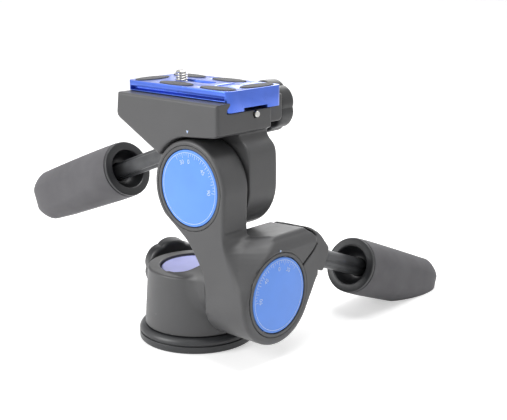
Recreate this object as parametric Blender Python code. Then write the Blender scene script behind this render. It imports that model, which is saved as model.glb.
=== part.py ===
"""Three way pan tilt head with a dovetail plate clamp, built piece by piece.

World axes: +Z up, the pan axis is Z, the tilt axis runs along +X and the roll
axis along +Y. The origin is the middle of the tripod socket, on the base's
underside. Lengths are in metres.
"""
import math

import bmesh
import bpy
from mathutils import Matrix, Vector

MM = 0.001

# Clearances and overruns
FIT = 0.3 * MM              # running or seating gap between two pieces
SLIT = 1.1 * MM             # saw cut of a split clamp
OVERRUN = 3 * MM            # how far a cutter runs past the face it opens

# Steps round a turned piece
LARGE_STEPS = 36
MEDIUM_STEPS = 16
SMALL_STEPS = 10
GRIP_STEPS = 20
LOBE_STEPS = 6
FLAT_ANGLE = math.radians(0.1)
WELD = 0.001 * MM

# Base and pan bearing
BASE_RADIUS = 30 * MM
BASE_HEIGHT = 7.5 * MM
BASE_FOOT_HEIGHT = 3.6 * MM
BASE_GROOVE_WIDTH = 0.7 * MM
BASE_GROOVE_DEPTH = 0.8 * MM
BASE_SHOULDER = 3 * MM
BASE_CHAMFER = 0.8 * MM
JOURNAL_RADIUS = 17 * MM
JOURNAL_TOP = 29.6 * MM
SOCKET_RADIUS = 4.75 * MM   # 3/8 inch tripod thread
INSERT_RADIUS = 7 * MM
INSERT_HEIGHT = 12.6 * MM
INSERT_RECESS = 0.4 * MM
INSERT_CHAMFER = 0.6 * MM
SPINDLE_RADIUS = 5 * MM
SPINDLE_HEAD_RADIUS = 9.5 * MM
SPINDLE_HEAD_HEIGHT = 1.4 * MM
SPINDLE_LENGTH = 18 * MM
PAN_WASHER_HEIGHT = 1 * MM
PAN_DIAL_RADIUS = 18.2 * MM
PAN_DIAL_HEIGHT = 1.8 * MM
PAN_DIAL_BEVEL = 0.6 * MM

# Turret, which turns on the base
TURRET_FOOT_RADIUS = 27 * MM
TURRET_TOP_RADIUS = 25 * MM
TURRET_TOP = 37.8 * MM
TURRET_EDGE = 1 * MM
TURRET_WEB = 1.8 * MM
DIAL_RECESS_RADIUS = 18.9 * MM
TILT_HEIGHT = 33.63 * MM    # height of the tilt axis
BOSS_RADIUS = 19.5 * MM
BOSS_EDGE = 1.2 * MM
BOSS_START = -0.7 * MM      # inner end of the boss, along the tilt axis
SPLIT_X = 27.5 * MM         # plane between turret boss and arm barrel
SPIGOT_RADIUS = 11 * MM
SPIGOT_DEPTH = 3.2 * MM

# Pan brake and its knob
PAN_KNOB_ANGLE = math.radians(158)
PAN_KNOB_HEIGHT = 27.2 * MM
PAN_KNOB_RADIUS = 15.2 * MM
PAN_KNOB_THICKNESS = 9 * MM
BRAKE_RADIUS = 3.5 * MM
BRAKE_LENGTH = 3.6 * MM
BRAKE_CLEARANCE = 0.5 * MM
KNOB_BOSS_RADIUS = 7.5 * MM
KNOB_BOSS_REACH = 28 * MM
KNOB_SCREW_RADIUS = 3 * MM
KNOB_HUB_RADIUS = 6.5 * MM
KNOB_HUB_LENGTH = 2 * MM
KNOB_EDGE = 1.6 * MM
KNOB_LOBES = 6
KNOB_LOBE_DEPTH_SHARE = 0.13
KNOB_BORE_SHARE = 0.6

# Shafts and dials, the same on the tilt and the roll stage
SHAFT_RADIUS = 13 * MM
SLEEVE_WALL = 2.9 * MM
CLAMP_BORE_RADIUS = SHAFT_RADIUS + SLEEVE_WALL + 2 * FIT
DIAL_RADIUS = 18.7 * MM
DIAL_FACE_THICKNESS = 1.3 * MM
DIAL_SKIRT = 1.4 * MM
DIAL_HEIGHT = 2.9 * MM
DIAL_BEVEL = 0.4 * MM
DIAL_INSET = 0.4 * MM
BEZEL_WIDTH = 1.6 * MM
BEZEL_PROUD = 0.3 * MM
RECESS_RADIUS = DIAL_RADIUS + BEZEL_WIDTH + 2 * FIT
RETAINER_THICKNESS = 1.5 * MM
BOLT_RADIUS = 3 * MM
BOLT_HEAD_RADIUS = 5.5 * MM
BOLT_HEAD_HEIGHT = 1.1 * MM

# Arm casting
ARM_BACK = -5.2 * MM
HUB_RADIUS = 23.2 * MM
ROLL_X = 17.75 * MM
ARM_EDGE = 1.5 * MM
BARREL_RADIUS = 25 * MM
ARM_SETBACK = 2.5 * MM       # the plate's face behind the barrel's front
ARM_FRONT = ARM_SETBACK - BARREL_RADIUS
BARREL_END_X = 56.2 * MM
BARREL_EDGE = 2.6 * MM
HOUSING_TOP = 26.4 * MM     # above the tilt axis
EAR_REACH = 46 * MM
EAR_HALF = 6.4 * MM
TILT_ROD_X = 41.5 * MM

# Handles, the same on both stages: the rod line is tangent to a circle
# round the hinge axis and falls away from it
ROD_SLOPE = math.radians(21.2)
ROD_OFFSET = 22.14 * MM
ROD_RADIUS = 4.9 * MM
ROD_FLUTES = 3
ROD_FLUTE_DEPTH_SHARE = 0.2
STUD_RADIUS = 3 * MM
STUD_START = 1 * MM
STUD_SEAT = 28.3 * MM       # floor of the ear's counterbore, along the rod
ROD_WASHER = 1 * MM
GRIP_START = 72.8 * MM      # front of the grip, along the rod
GRIP_LENGTH = 81.4 * MM
GRIP_RADIUS = 15.3 * MM
GRIP_TRAVEL = 26 * MM
GRIP_WALL_START = 2.1 * MM
GRIP_FLAT_SHARE = 0.075
# Along the grip, radius there, and how far the flats have opened
GRIP_SECTION_SHARES = ((0, 1, 0), (0.14, 1.01, 0), (0.3, 1.03, 0.4), (0.5, 1.045, 0.8),
                       (0.7, 1.035, 1), (0.82, 0.98, 1), (0.9, 0.88, 1), (0.955, 0.72, 1),
                       (0.985, 0.53, 1), (1, 0.34, 1))
FUNNEL_FLANGE = 1.8 * MM
FUNNEL_BODY_RADIUS = 11.8 * MM
FUNNEL_BODY_LENGTH = 12 * MM
FUNNEL_LENGTH = 20 * MM
FUNNEL_NECK_RADIUS = 7.4 * MM
FUNNEL_MOUTH_RADIUS = 10.6 * MM
FUNNEL_BOWL_DEPTH = 8.5 * MM
ROD_STOP_RADIUS = 5.9 * MM
ROD_STOP_LENGTH = 2.5 * MM

# Platform casting
HUB_FRONT = -4.6 * MM
HUB_BACK = 15.5 * MM
HUB_SIDE = 23.3 * MM
HUB_CLEARANCE = 0.73 * MM    # between the hub and the arm's housing below it
ROLL_HEIGHT = TILT_HEIGHT + HOUSING_TOP + HUB_CLEARANCE + HUB_SIDE
SHAFT_END_Y = 12 * MM
ROLL_ROD_Y = 5.45 * MM
ROLL_ROD_INSET = 0.9 * MM    # the roll rod sits this much closer to its hinge
ROLL_EAR_REACH = 38 * MM
BLOCK_LEFT = -33 * MM
BLOCK_RIGHT = 34 * MM
SEAT_RISE = 36.84 * MM       # the plate's seat above the roll axis
SEAT_HEIGHT = ROLL_HEIGHT + SEAT_RISE
BLOCK_DEPTH = 10.4 * MM      # the block's underside below the seat
BLOCK_BOTTOM = SEAT_HEIGHT - BLOCK_DEPTH
BLOCK_CORNER = 3 * MM
BLOCK_EDGE = 1 * MM
LIP_HEIGHT = 5.1 * MM        # both jaws' lips above the seat
JAW_TOP = SEAT_HEIGHT + LIP_HEIGHT
END_CAP_RADIUS = 19.1 * MM
END_CAP_PROUD = 0.8 * MM

# Dovetail plate
PLATE_CENTRE_X = 2.7 * MM
PLATE_CENTRE_Y = 3.6 * MM
PLATE_LENGTH = 70 * MM
PLATE_WIDTH = 38 * MM
PLATE_HEIGHT = 10 * MM
PLATE_CORNER = 2.4 * MM
PLATE_EDGE = 0.4 * MM
PLATE_FOOT = 1.3 * MM       # straight foot below the dovetail
PLATE_DOVETAIL = 3 * MM     # height and depth of the 45 degree flank
PLATE_WAIST = 0.7 * MM
PLATE_BEAD = 0.5 * MM
PLATE_BEAD_DEPTH = 1.4 * MM
PLATE_GROOVE = 2 * MM
PLATE_GROOVE_DEPTH = 3.2 * MM
PLATE_GROOVE_END = 6.5 * MM
PLATE_END_WALL = 1.6 * MM
CHANNEL_WIDTH = 16.5 * MM
CHANNEL_DEPTH = 3.6 * MM
CHANNEL_START = -24 * MM
SLOT_WIDTH = 6.9 * MM
SLOT_START = -12.5 * MM
SLOT_END = 7 * MM
GROOVE_X = 18.4 * MM
GROOVE_WIDTH = 2.4 * MM
GROOVE_LENGTH = 12 * MM
GROOVE_DEPTH = 1.2 * MM
PAD_POCKET_DEPTH = 0.8 * MM
PAD_PROUD = 0.4 * MM
PAD_LONG = 21.5 * MM
PAD_WIDE = 9.2 * MM
END_PAD_X = 29.3 * MM       # pad middles, from the plate's middle
END_PAD_Y = 6.8 * MM
OUTER_PAD_X = 22.8 * MM
INNER_PAD_X = 5.2 * MM
SIDE_PAD_Y = 13.2 * MM
STOP_SCREW_RADIUS = 2 * MM
STOP_SCREW_LENGTH = 3 * MM
STOP_SCREW_X = 30 * MM
STOP_SCREW_Y = 14 * MM

# Camera screw, 1/4 inch
CAMERA_SCREW_RADIUS = 3.15 * MM
CAMERA_SCREW_RISE = 4.7 * MM
CAMERA_HEAD_RADIUS = 7 * MM
CAMERA_HEAD_HEIGHT = 2 * MM
COIN_SLOT_WIDTH = 1.6 * MM
COIN_SLOT_DEPTH = 1 * MM
SCREW_WASHER_RADIUS = 6 * MM
SCREW_WASHER_HEIGHT = 0.6 * MM

# Moving jaw and its screw
JAW_LEFT = -28 * MM
JAW_RIGHT = 33 * MM
JAW_FRONT = 15.9 * MM
JAW_BACK = 28.6 * MM
JAW_DEPTH = 8.5 * MM         # the jaw's underside below the seat
JAW_BOTTOM = SEAT_HEIGHT - JAW_DEPTH
JAW_CORNER = 2.5 * MM
CLAMP_X = 17 * MM
CLAMP_DROP = 3.7 * MM        # the clamp screw's axis below the seat
CLAMP_HEIGHT = SEAT_HEIGHT - CLAMP_DROP
CLAMP_SCREW_RADIUS = 2.1 * MM
CLAMP_SCREW_START = -2 * MM
CLAMP_KNOB_RADIUS = 13.3 * MM
CLAMP_KNOB_THICKNESS = 11 * MM
CLAMP_KNOB_START = 31 * MM
GUIDE_RADIUS = 2 * MM
GUIDE_START = 7.5 * MM
GUIDE_LEFT_X = -14 * MM
GUIDE_RIGHT_X = 28.6 * MM
GUIDE_END = 26.5 * MM
SPRING_POCKET_RADIUS = 3.55 * MM
SPRING_POCKET_DEPTH = 3.2 * MM
SPRING_RADIUS = 2.9 * MM
SPRING_WIRE = 0.35 * MM
SPRING_TURNS = 3
SPRING_SIDES = 4
STOP_PIN_RADIUS = 1.6 * MM
STOP_PIN_Y = 4 * MM
STOP_PIN_DROP = 2 * MM       # the stop pin's axis below the seat
STOP_PIN_HEIGHT = SEAT_HEIGHT - STOP_PIN_DROP
STOP_PIN_START = 29 * MM
STOP_PIN_END = 36 * MM

# Finishes: colour, roughness, metallic
FINISHES = {
    "cast_black": ("#55565A", 0.45, 0.2),
    "blue_anodised": ("#2E5BE6", 0.3, 0.8),
    "dial_blue": ("#5C92F7", 0.5, 0.1),
    "rubber_black": ("#55565A", 0.7, 0.0),
    "plastic_black": ("#2B2C2F", 0.5, 0.0),
    "steel": ("#C3C5C8", 0.3, 1.0),
    "brass": ("#C9A44C", 0.35, 1.0),
    "bearing_plastic": ("#E9E7E0", 0.6, 0.0),
}


def linear(channel):
    """Turn one sRGB channel into a linear one."""
    if channel <= 0.04045:
        return channel / 12.92
    return ((channel + 0.055) / 1.055) ** 2.4


def finish(name):
    """Return the material of this name, made once."""
    found = bpy.data.materials.get(name)
    if found:
        return found
    text, roughness, metallic = FINISHES[name]
    made = bpy.data.materials.new(name)
    made.use_nodes = True
    shader = made.node_tree.nodes["Principled BSDF"]
    channels = [int(text[place:place + 2], 16) / 255 for place in (1, 3, 5)]
    shader.inputs["Base Color"].default_value = [linear(value) for value in channels] + [1]
    shader.inputs["Roughness"].default_value = roughness
    shader.inputs["Metallic"].default_value = metallic
    return made


def frame_matrix(origin, x_axis, y_axis):
    """Return the matrix of a local frame from its origin and two axes."""
    x_axis = Vector(x_axis).normalized()
    y_axis = Vector(y_axis).normalized()
    z_axis = x_axis.cross(y_axis)
    matrix = Matrix((x_axis, y_axis, z_axis)).transposed().to_4x4()
    return Matrix.Translation(Vector(origin)) @ matrix


# A clamp's frame has u away from the hinge on the handle's side, v up and w
# along the hinge axis
UPRIGHT = Matrix.Identity(4)
TILT_FRAME = frame_matrix((0, 0, TILT_HEIGHT), (0, 1, 0), (0, 0, 1))
ROLL_FRAME = frame_matrix((ROLL_X, 0, ROLL_HEIGHT), (-1, 0, 0), (0, 0, 1))
FRONT_FRAME = frame_matrix((0, 0, 0), (1, 0, 0), (0, 0, 1))
SIDE_FRAME = frame_matrix((0, 0, 0), (0, 1, 0), (0, 0, 1))
KNOB_AXIS = (math.cos(PAN_KNOB_ANGLE), math.sin(PAN_KNOB_ANGLE), 0)
PAN_KNOB_FRAME = frame_matrix((0, 0, PAN_KNOB_HEIGHT), (0, 0, 1),
                              Vector(KNOB_AXIS).cross(Vector((0, 0, 1))))
CLAMP_FRAME = frame_matrix((CLAMP_X, 0, CLAMP_HEIGHT), (0, 0, 1), (1, 0, 0))


def rod_frame(clamp_frame, across, inset=0):
    """Return the frame of a handle rod: Z runs outward along the rod."""
    foot = Vector((math.sin(ROD_SLOPE), math.cos(ROD_SLOPE), 0)) * ROD_OFFSET
    along = Vector((math.cos(ROD_SLOPE), -math.sin(ROD_SLOPE), 0))
    side = Vector((0, 0, 1))
    local = Matrix((side, along.cross(side), along)).transposed().to_4x4()
    shift = Matrix.Translation(foot + side * across - along * inset)
    return clamp_frame @ shift @ local


TILT_ROD = rod_frame(TILT_FRAME, TILT_ROD_X)
ROLL_ROD = rod_frame(ROLL_FRAME, ROLL_ROD_Y, ROLL_ROD_INSET)


def to_object(name, bm, place, look):
    """Close a bmesh into a named object placed in the world."""
    bmesh.ops.transform(bm, matrix=place, verts=bm.verts)
    bmesh.ops.recalc_face_normals(bm, faces=bm.faces)
    mesh = bpy.data.meshes.new(name)
    bm.to_mesh(mesh)
    bm.free()
    made = bpy.data.objects.new(name, mesh)
    bpy.context.scene.collection.objects.link(made)
    made.data.materials.append(finish(look))
    return made


def ring_of(bm, points):
    """Add one vertex for each point and return them."""
    return [bm.verts.new(point) for point in points]


def bridge(bm, first, second):
    """Join two rings, either of which may be a single point."""
    if len(first) == 1 and len(second) == 1:
        return
    count = max(len(first), len(second))
    for place in range(count):
        after = (place + 1) % count
        if len(first) == 1:
            bm.faces.new((first[0], second[place], second[after]))
        elif len(second) == 1:
            bm.faces.new((first[place], second[0], first[after]))
        else:
            bm.faces.new((first[place], second[place], second[after], first[after]))


def lathe(name, profile, place, look, steps=MEDIUM_STEPS):
    """Turn a closed profile of (radius, height) about the local Z axis."""
    bm = bmesh.new()
    rings = []
    for radius, height in profile:
        if radius == 0:
            rings.append(ring_of(bm, [(0, 0, height)]))
            continue
        turns = [math.tau * step / steps for step in range(steps)]
        rings.append(ring_of(bm, [(radius * math.cos(turn), radius * math.sin(turn), height)
                                  for turn in turns]))
    for index, ring in enumerate(rings):
        bridge(bm, ring, rings[(index + 1) % len(rings)])
    return to_object(name, bm, place, look)


def disc(name, radius, low, high, place, look, edge=0, steps=MEDIUM_STEPS):
    """Make a solid disc or rod, with its upper edge chamfered by edge."""
    profile = [(0, low), (radius, low)]
    if edge:
        profile += [(radius, high - edge), (radius - edge, high)]
    else:
        profile += [(radius, high)]
    return lathe(name, profile + [(0, high)], place, look, steps)


def tube(name, inner, outer, low, high, place, look, steps=MEDIUM_STEPS):
    """Make a plain ring."""
    profile = [(inner, low), (outer, low), (outer, high), (inner, high)]
    return lathe(name, profile, place, look, steps)


def prism(name, outline, low, high, place, look, edge=0, edge_steps=3, ends=("high", "low")):
    """Extrude an outline along the local Z axis and round its end edges."""
    bm = bmesh.new()
    bottom = ring_of(bm, [(a, b, low) for a, b in outline])
    top = ring_of(bm, [(a, b, high) for a, b in outline])
    bm.faces.new(bottom)
    bm.faces.new(top)
    bridge(bm, bottom, top)
    bmesh.ops.recalc_face_normals(bm, faces=bm.faces)
    if edge:
        level = {"high": high, "low": low}
        wanted = [level[end] for end in ends]
        edges = [line for line in bm.edges
                 if any(abs(line.verts[0].co.z - z) < FIT / 10
                        and abs(line.verts[1].co.z - z) < FIT / 10 for z in wanted)]
        bmesh.ops.bevel(bm, geom=edges, offset=edge, segments=edge_steps, profile=0.5,
                        affect="EDGES", clamp_overlap=True)
    return to_object(name, bm, place, look)


def loft(name, sections, place, look):
    """Skin a row of closed sections, each a list of points, and cap its ends."""
    bm = bmesh.new()
    rings = [ring_of(bm, section) for section in sections]
    for before, after in zip(rings, rings[1:]):
        bridge(bm, before, after)
    for ring in (rings[0], rings[-1]):
        if len(ring) > 1:
            bm.faces.new(ring)
    return to_object(name, bm, place, look)


def combine(target, tool, operation):
    """Apply a boolean of the tool to the target and remove the tool."""
    modifier = target.modifiers.new(operation.title(), "BOOLEAN")
    modifier.operation = operation
    modifier.solver = "EXACT"
    modifier.object = tool
    graph = bpy.context.evaluated_depsgraph_get()
    mesh = bpy.data.meshes.new_from_object(target.evaluated_get(graph))
    target.modifiers.clear()
    target.data = mesh
    bpy.data.objects.remove(tool, do_unlink=True)
    return simplify(target)


def simplify(piece):
    """Merge the flat faces that booleans split, and triangulate what is left."""
    bm = bmesh.new()
    bm.from_mesh(piece.data)
    bmesh.ops.remove_doubles(bm, verts=bm.verts, dist=WELD)
    bmesh.ops.dissolve_limit(bm, angle_limit=FLAT_ANGLE, verts=bm.verts, edges=bm.edges)
    bmesh.ops.triangulate(bm, faces=bm.faces)
    bm.to_mesh(piece.data)
    bm.free()
    return piece


def cut(target, *tools):
    """Take each tool away from the target."""
    for tool in tools:
        combine(target, tool, "DIFFERENCE")
    return target


def fuse(target, *tools):
    """Add each tool to the target."""
    for tool in tools:
        combine(target, tool, "UNION")
    return target


def arc(centre, radius, start, end, steps):
    """Return points on an arc, from start to end in degrees."""
    turns = [math.radians(start + (end - start) * step / steps) for step in range(steps + 1)]
    return [(centre[0] + radius * math.cos(turn), centre[1] + radius * math.sin(turn))
            for turn in turns]


def rectangle(left, bottom, right, top):
    """Return the corners of a rectangle."""
    return [(left, bottom), (right, bottom), (right, top), (left, top)]


def rounded_rectangle(left, bottom, right, top, corner, steps=4):
    """Return a rectangle with round corners."""
    return (arc((right - corner, bottom + corner), corner, -90, 0, steps)
            + arc((right - corner, top - corner), corner, 0, 90, steps)
            + arc((left + corner, top - corner), corner, 90, 180, steps)
            + arc((left + corner, bottom + corner), corner, 180, 270, steps))


def slot_outline(start, end, width, steps=5):
    """Return a slot with round ends between two middles that share an x or a y."""
    if start[1] == end[1]:
        return arc(end, width / 2, -90, 90, steps) + arc(start, width / 2, 90, 270, steps)
    return arc(end, width / 2, 0, 180, steps) + arc(start, width / 2, 180, 360, steps)


def band(points, width):
    """Return the outline of a band of even width along an open line."""
    line = [Vector(point) for point in points]
    left, right = [], []
    for index, point in enumerate(line):
        before = line[max(index - 1, 0)]
        after = line[min(index + 1, len(line) - 1)]
        along = (after - before).normalized()
        aside = Vector((-along.y, along.x)) * (width / 2)
        left.append(tuple(point + aside))
        right.append(tuple(point - aside))
    return left + right[::-1]


def lens_outline(long_size, wide_size, steps=20):
    """Return an oval with its longer axis along either side."""
    turns = [math.tau * step / steps for step in range(steps)]
    return [(math.cos(turn) * long_size / 2, math.sin(turn) * wide_size / 2) for turn in turns]


def lobed_outline(radius, lobes, depth_share, steps):
    """Return a round outline with shallow scallops between its lobes."""
    points = []
    for step in range(lobes * steps):
        turn = math.tau * step / (lobes * steps)
        wave = abs(math.cos(lobes * turn / 2))
        reach = radius * (1 - depth_share * (1 - wave) ** 1.5)
        points.append((reach * math.cos(turn), reach * math.sin(turn)))
    return points


def make_base():
    """Base flange with its journal, tripod insert, spindle, washer and dial."""
    groove_low = BASE_FOOT_HEIGHT
    groove_high = groove_low + BASE_GROOVE_WIDTH
    shoulder = BASE_HEIGHT - BASE_SHOULDER
    socket = INSERT_RADIUS + FIT
    socket_top = INSERT_RECESS + INSERT_HEIGHT + FIT
    bore = SPINDLE_RADIUS + FIT
    rounding = arc((BASE_RADIUS - BASE_SHOULDER, shoulder), BASE_SHOULDER, 0, 90, 3)
    profile = [(socket, 0), (BASE_RADIUS - BASE_CHAMFER, 0), (BASE_RADIUS, BASE_CHAMFER),
               (BASE_RADIUS, groove_low), (BASE_RADIUS - BASE_GROOVE_DEPTH, groove_low),
               (BASE_RADIUS - BASE_GROOVE_DEPTH, groove_high), (BASE_RADIUS, groove_high)]
    profile += rounding
    profile += [(JOURNAL_RADIUS, BASE_HEIGHT), (JOURNAL_RADIUS, JOURNAL_TOP),
                (bore, JOURNAL_TOP), (bore, socket_top), (socket, socket_top)]
    base = lathe("base_flange", profile, UPRIGHT, "cast_black", LARGE_STEPS)

    insert_top = INSERT_RECESS + INSERT_HEIGHT
    insert = lathe("tripod_insert",
                   [(SOCKET_RADIUS + INSERT_CHAMFER, INSERT_RECESS), (INSERT_RADIUS, INSERT_RECESS),
                    (INSERT_RADIUS, insert_top), (SOCKET_RADIUS, insert_top),
                    (SOCKET_RADIUS, INSERT_RECESS + INSERT_CHAMFER)],
                   UPRIGHT, "brass", MEDIUM_STEPS)

    washer_low = JOURNAL_TOP + FIT
    washer = tube("pan_bearing_washer", bore, JOURNAL_RADIUS - FIT, washer_low,
                  washer_low + PAN_WASHER_HEIGHT, UPRIGHT, "bearing_plastic")
    web_top = washer_low + PAN_WASHER_HEIGHT + FIT + TURRET_WEB
    head_low = web_top + FIT
    spindle = lathe("pan_spindle",
                    [(0, head_low - SPINDLE_LENGTH), (SPINDLE_RADIUS, head_low - SPINDLE_LENGTH),
                     (SPINDLE_RADIUS, head_low), (SPINDLE_HEAD_RADIUS, head_low),
                     (SPINDLE_HEAD_RADIUS, head_low + SPINDLE_HEAD_HEIGHT),
                     (0, head_low + SPINDLE_HEAD_HEIGHT)], UPRIGHT, "steel", MEDIUM_STEPS)
    dial_low = head_low + SPINDLE_HEAD_HEIGHT + FIT
    dial = disc("pan_dial", PAN_DIAL_RADIUS, dial_low, dial_low + PAN_DIAL_HEIGHT, UPRIGHT,
                "dial_blue", PAN_DIAL_BEVEL, LARGE_STEPS)
    return [base, insert, spindle, washer, dial]


def make_turret():
    """Turret housing: a tapered drum with a boss for the tilt shaft."""
    foot = BASE_HEIGHT + FIT
    web_low = JOURNAL_TOP + 2 * FIT + PAN_WASHER_HEIGHT
    web_top = web_low + TURRET_WEB
    cavity = JOURNAL_RADIUS + FIT
    bore = SPINDLE_RADIUS + FIT
    drum = lathe("turret_housing",
                 [(0, foot), (TURRET_FOOT_RADIUS - TURRET_EDGE / 2, foot),
                  (TURRET_FOOT_RADIUS, foot + TURRET_EDGE / 2),
                  (TURRET_TOP_RADIUS, TURRET_TOP - TURRET_EDGE),
                  (TURRET_TOP_RADIUS - TURRET_EDGE / 3, TURRET_TOP - TURRET_EDGE / 3),
                  (TURRET_TOP_RADIUS - TURRET_EDGE, TURRET_TOP), (0, TURRET_TOP)],
                 UPRIGHT, "cast_black", LARGE_STEPS)
    boss_end = SPLIT_X - FIT
    boss = lathe("boss", [(0, BOSS_START), (BOSS_RADIUS - BOSS_EDGE, BOSS_START),
                          (BOSS_RADIUS, BOSS_START + BOSS_EDGE),
                          (BOSS_RADIUS, boss_end - BOSS_EDGE), (BOSS_RADIUS - BOSS_EDGE, boss_end),
                          (0, boss_end)],
                 TILT_FRAME, "cast_black", LARGE_STEPS)
    fuse(drum, boss)
    reach = KNOB_BOSS_REACH
    lug = disc("lug", KNOB_BOSS_RADIUS, cavity + BRAKE_RADIUS, reach, PAN_KNOB_FRAME,
               "cast_black", BOSS_EDGE)
    fuse(drum, lug)
    inner = disc("inner", cavity, foot - OVERRUN, web_low, UPRIGHT, "cast_black", 0, LARGE_STEPS)
    recess = disc("recess", DIAL_RECESS_RADIUS, web_top, TILT_HEIGHT + BOSS_RADIUS + OVERRUN,
                  UPRIGHT, "cast_black", 0, LARGE_STEPS)
    spindle_hole = disc("hole", bore, web_low - OVERRUN, web_top + OVERRUN, UPRIGHT, "cast_black")
    spigot = disc("spigot", SPIGOT_RADIUS + FIT, boss_end - SPIGOT_DEPTH, boss_end + OVERRUN,
                  TILT_FRAME, "cast_black")
    bolt_hole = disc("bolt_hole", BOLT_RADIUS + FIT, boss_end - SPIGOT_DEPTH - BOLT_RADIUS,
                     boss_end, TILT_FRAME, "cast_black", 0, SMALL_STEPS)
    brake_end = cavity + BRAKE_CLEARANCE + BRAKE_LENGTH + FIT
    brake_bore = disc("brake_bore", BRAKE_RADIUS + FIT, cavity - OVERRUN, brake_end,
                      PAN_KNOB_FRAME, "cast_black", 0, SMALL_STEPS)
    screw_bore = disc("screw_bore", KNOB_SCREW_RADIUS + FIT, cavity - OVERRUN, reach + OVERRUN,
                      PAN_KNOB_FRAME, "cast_black", 0, SMALL_STEPS)
    cut(drum, inner, recess, spindle_hole, spigot, bolt_hole, brake_bore, screw_bore)
    return drum


def make_pan_brake():
    """Brake shoe, its screw and the lobed knob."""
    shoe_start = JOURNAL_RADIUS + FIT + BRAKE_CLEARANCE
    shoe_end = shoe_start + BRAKE_LENGTH
    shoe = disc("pan_brake_shoe", BRAKE_RADIUS, shoe_start, shoe_end, PAN_KNOB_FRAME, "brass",
                0, SMALL_STEPS)
    hub_start = KNOB_BOSS_REACH + FIT
    lobes_start = hub_start + KNOB_HUB_LENGTH
    bore_end = lobes_start + PAN_KNOB_THICKNESS * KNOB_BORE_SHARE
    screw = disc("pan_knob_screw", KNOB_SCREW_RADIUS, shoe_end + 2 * FIT, bore_end - FIT,
                 PAN_KNOB_FRAME, "steel", FIT, SMALL_STEPS)
    knob = make_knob("pan_knob", PAN_KNOB_RADIUS, hub_start, lobes_start,
                     lobes_start + PAN_KNOB_THICKNESS, KNOB_SCREW_RADIUS + FIT, bore_end,
                     PAN_KNOB_FRAME)
    return shoe, screw, knob


def make_knob(name, radius, hub_start, lobes_start, end, bore_radius, bore_end, place):
    """A lobed knob with a round hub and a blind bore for its screw."""
    body = prism(name, lobed_outline(radius, KNOB_LOBES, KNOB_LOBE_DEPTH_SHARE, LOBE_STEPS),
                 lobes_start, end, place, "plastic_black", KNOB_EDGE, 2)
    hub = disc("hub", KNOB_HUB_RADIUS, hub_start, lobes_start + KNOB_HUB_LENGTH, place,
               "plastic_black", 0)
    fuse(body, hub)
    bore = disc("bore", bore_radius, hub_start - OVERRUN, bore_end, place,
                "plastic_black", 0, SMALL_STEPS)
    return cut(body, bore)


def make_dial(name, place, low, direction):
    """A thin dial with a skirt, seated on its retainer. Low is the skirt's foot."""
    top = low + direction * DIAL_HEIGHT
    under = top - direction * DIAL_FACE_THICKNESS
    inner = DIAL_RADIUS - DIAL_SKIRT
    return lathe(name, [(0, under), (inner, under), (inner, low), (DIAL_RADIUS, low),
                        (DIAL_RADIUS, top - direction * DIAL_BEVEL),
                        (DIAL_RADIUS - DIAL_BEVEL, top), (0, top)],
                 place, "dial_blue", LARGE_STEPS)


def make_bezel(name, place, low, direction):
    """The dark ring between a dial and its recess."""
    top = low + direction * (DIAL_HEIGHT + BEZEL_PROUD)
    inner = DIAL_RADIUS + FIT
    return tube(name, inner, inner + BEZEL_WIDTH - FIT, low, top, place, "plastic_black",
                LARGE_STEPS)


def make_tilt_shaft():
    """Shaft bolted to the turret's boss, with retainer, dial and bezel."""
    boss_end = SPLIT_X - FIT
    face = BARREL_END_X - DIAL_INSET
    dial_low = face - DIAL_HEIGHT
    retainer_low = dial_low - FIT - RETAINER_THICKNESS
    shaft_end = retainer_low - FIT
    spigot_start = boss_end - SPIGOT_DEPTH + FIT
    hole = BOLT_RADIUS + FIT
    shaft = lathe("tilt_shaft",
                  [(hole, spigot_start), (SPIGOT_RADIUS, spigot_start), (SPIGOT_RADIUS, SPLIT_X),
                   (SHAFT_RADIUS, SPLIT_X), (SHAFT_RADIUS, shaft_end), (hole, shaft_end)],
                  TILT_FRAME, "steel", MEDIUM_STEPS)
    retainer = tube("tilt_retainer", hole, RECESS_RADIUS - 2 * FIT, retainer_low,
                    retainer_low + RETAINER_THICKNESS, TILT_FRAME, "steel")
    head_low = retainer_low + RETAINER_THICKNESS + FIT
    bolt_start = boss_end - SPIGOT_DEPTH - BOLT_RADIUS + FIT
    bolt = lathe("tilt_shaft_bolt",
                 [(0, bolt_start), (BOLT_RADIUS, bolt_start), (BOLT_RADIUS, head_low),
                  (BOLT_HEAD_RADIUS, head_low), (BOLT_HEAD_RADIUS, head_low + BOLT_HEAD_HEIGHT),
                  (0, head_low + BOLT_HEAD_HEIGHT)], TILT_FRAME, "steel", SMALL_STEPS)
    dial = make_dial("tilt_dial", TILT_FRAME, dial_low, 1)
    bezel = make_bezel("tilt_bezel", TILT_FRAME, dial_low, 1)
    return [shaft, retainer, bolt, dial, bezel]


def tilt_recess_floor():
    """Return where the arm's dial recess ends, along the tilt axis."""
    return BARREL_END_X - DIAL_INSET - DIAL_HEIGHT - 2 * FIT - RETAINER_THICKNESS


def slit_line():
    """Return the saw cut of a split clamp, in the clamp's (u, v)."""
    radius = CLAMP_BORE_RADIUS
    inside = (radius * 0.72, radius * 0.5)
    crossing = (radius * 1.28, radius * 0.9)
    outer = (BARREL_RADIUS * 1.17, BARREL_RADIUS * 0.84)
    corner = (BARREL_RADIUS * 1.24, BARREL_RADIUS * 0.98)
    mouth = (BARREL_RADIUS * 1.2, HOUSING_TOP + OVERRUN)
    return [inside, crossing, outer, corner, mouth]


def ear_end(reach):
    """Return the middle of an ear's end face and the two unit vectors there."""
    along = Vector((math.cos(ROD_SLOPE), -math.sin(ROD_SLOPE)))
    across = Vector((math.sin(ROD_SLOPE), math.cos(ROD_SLOPE)))
    foot = across * ROD_OFFSET
    distance = (reach - foot.x) / along.x
    return foot + along * distance, along, across


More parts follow.
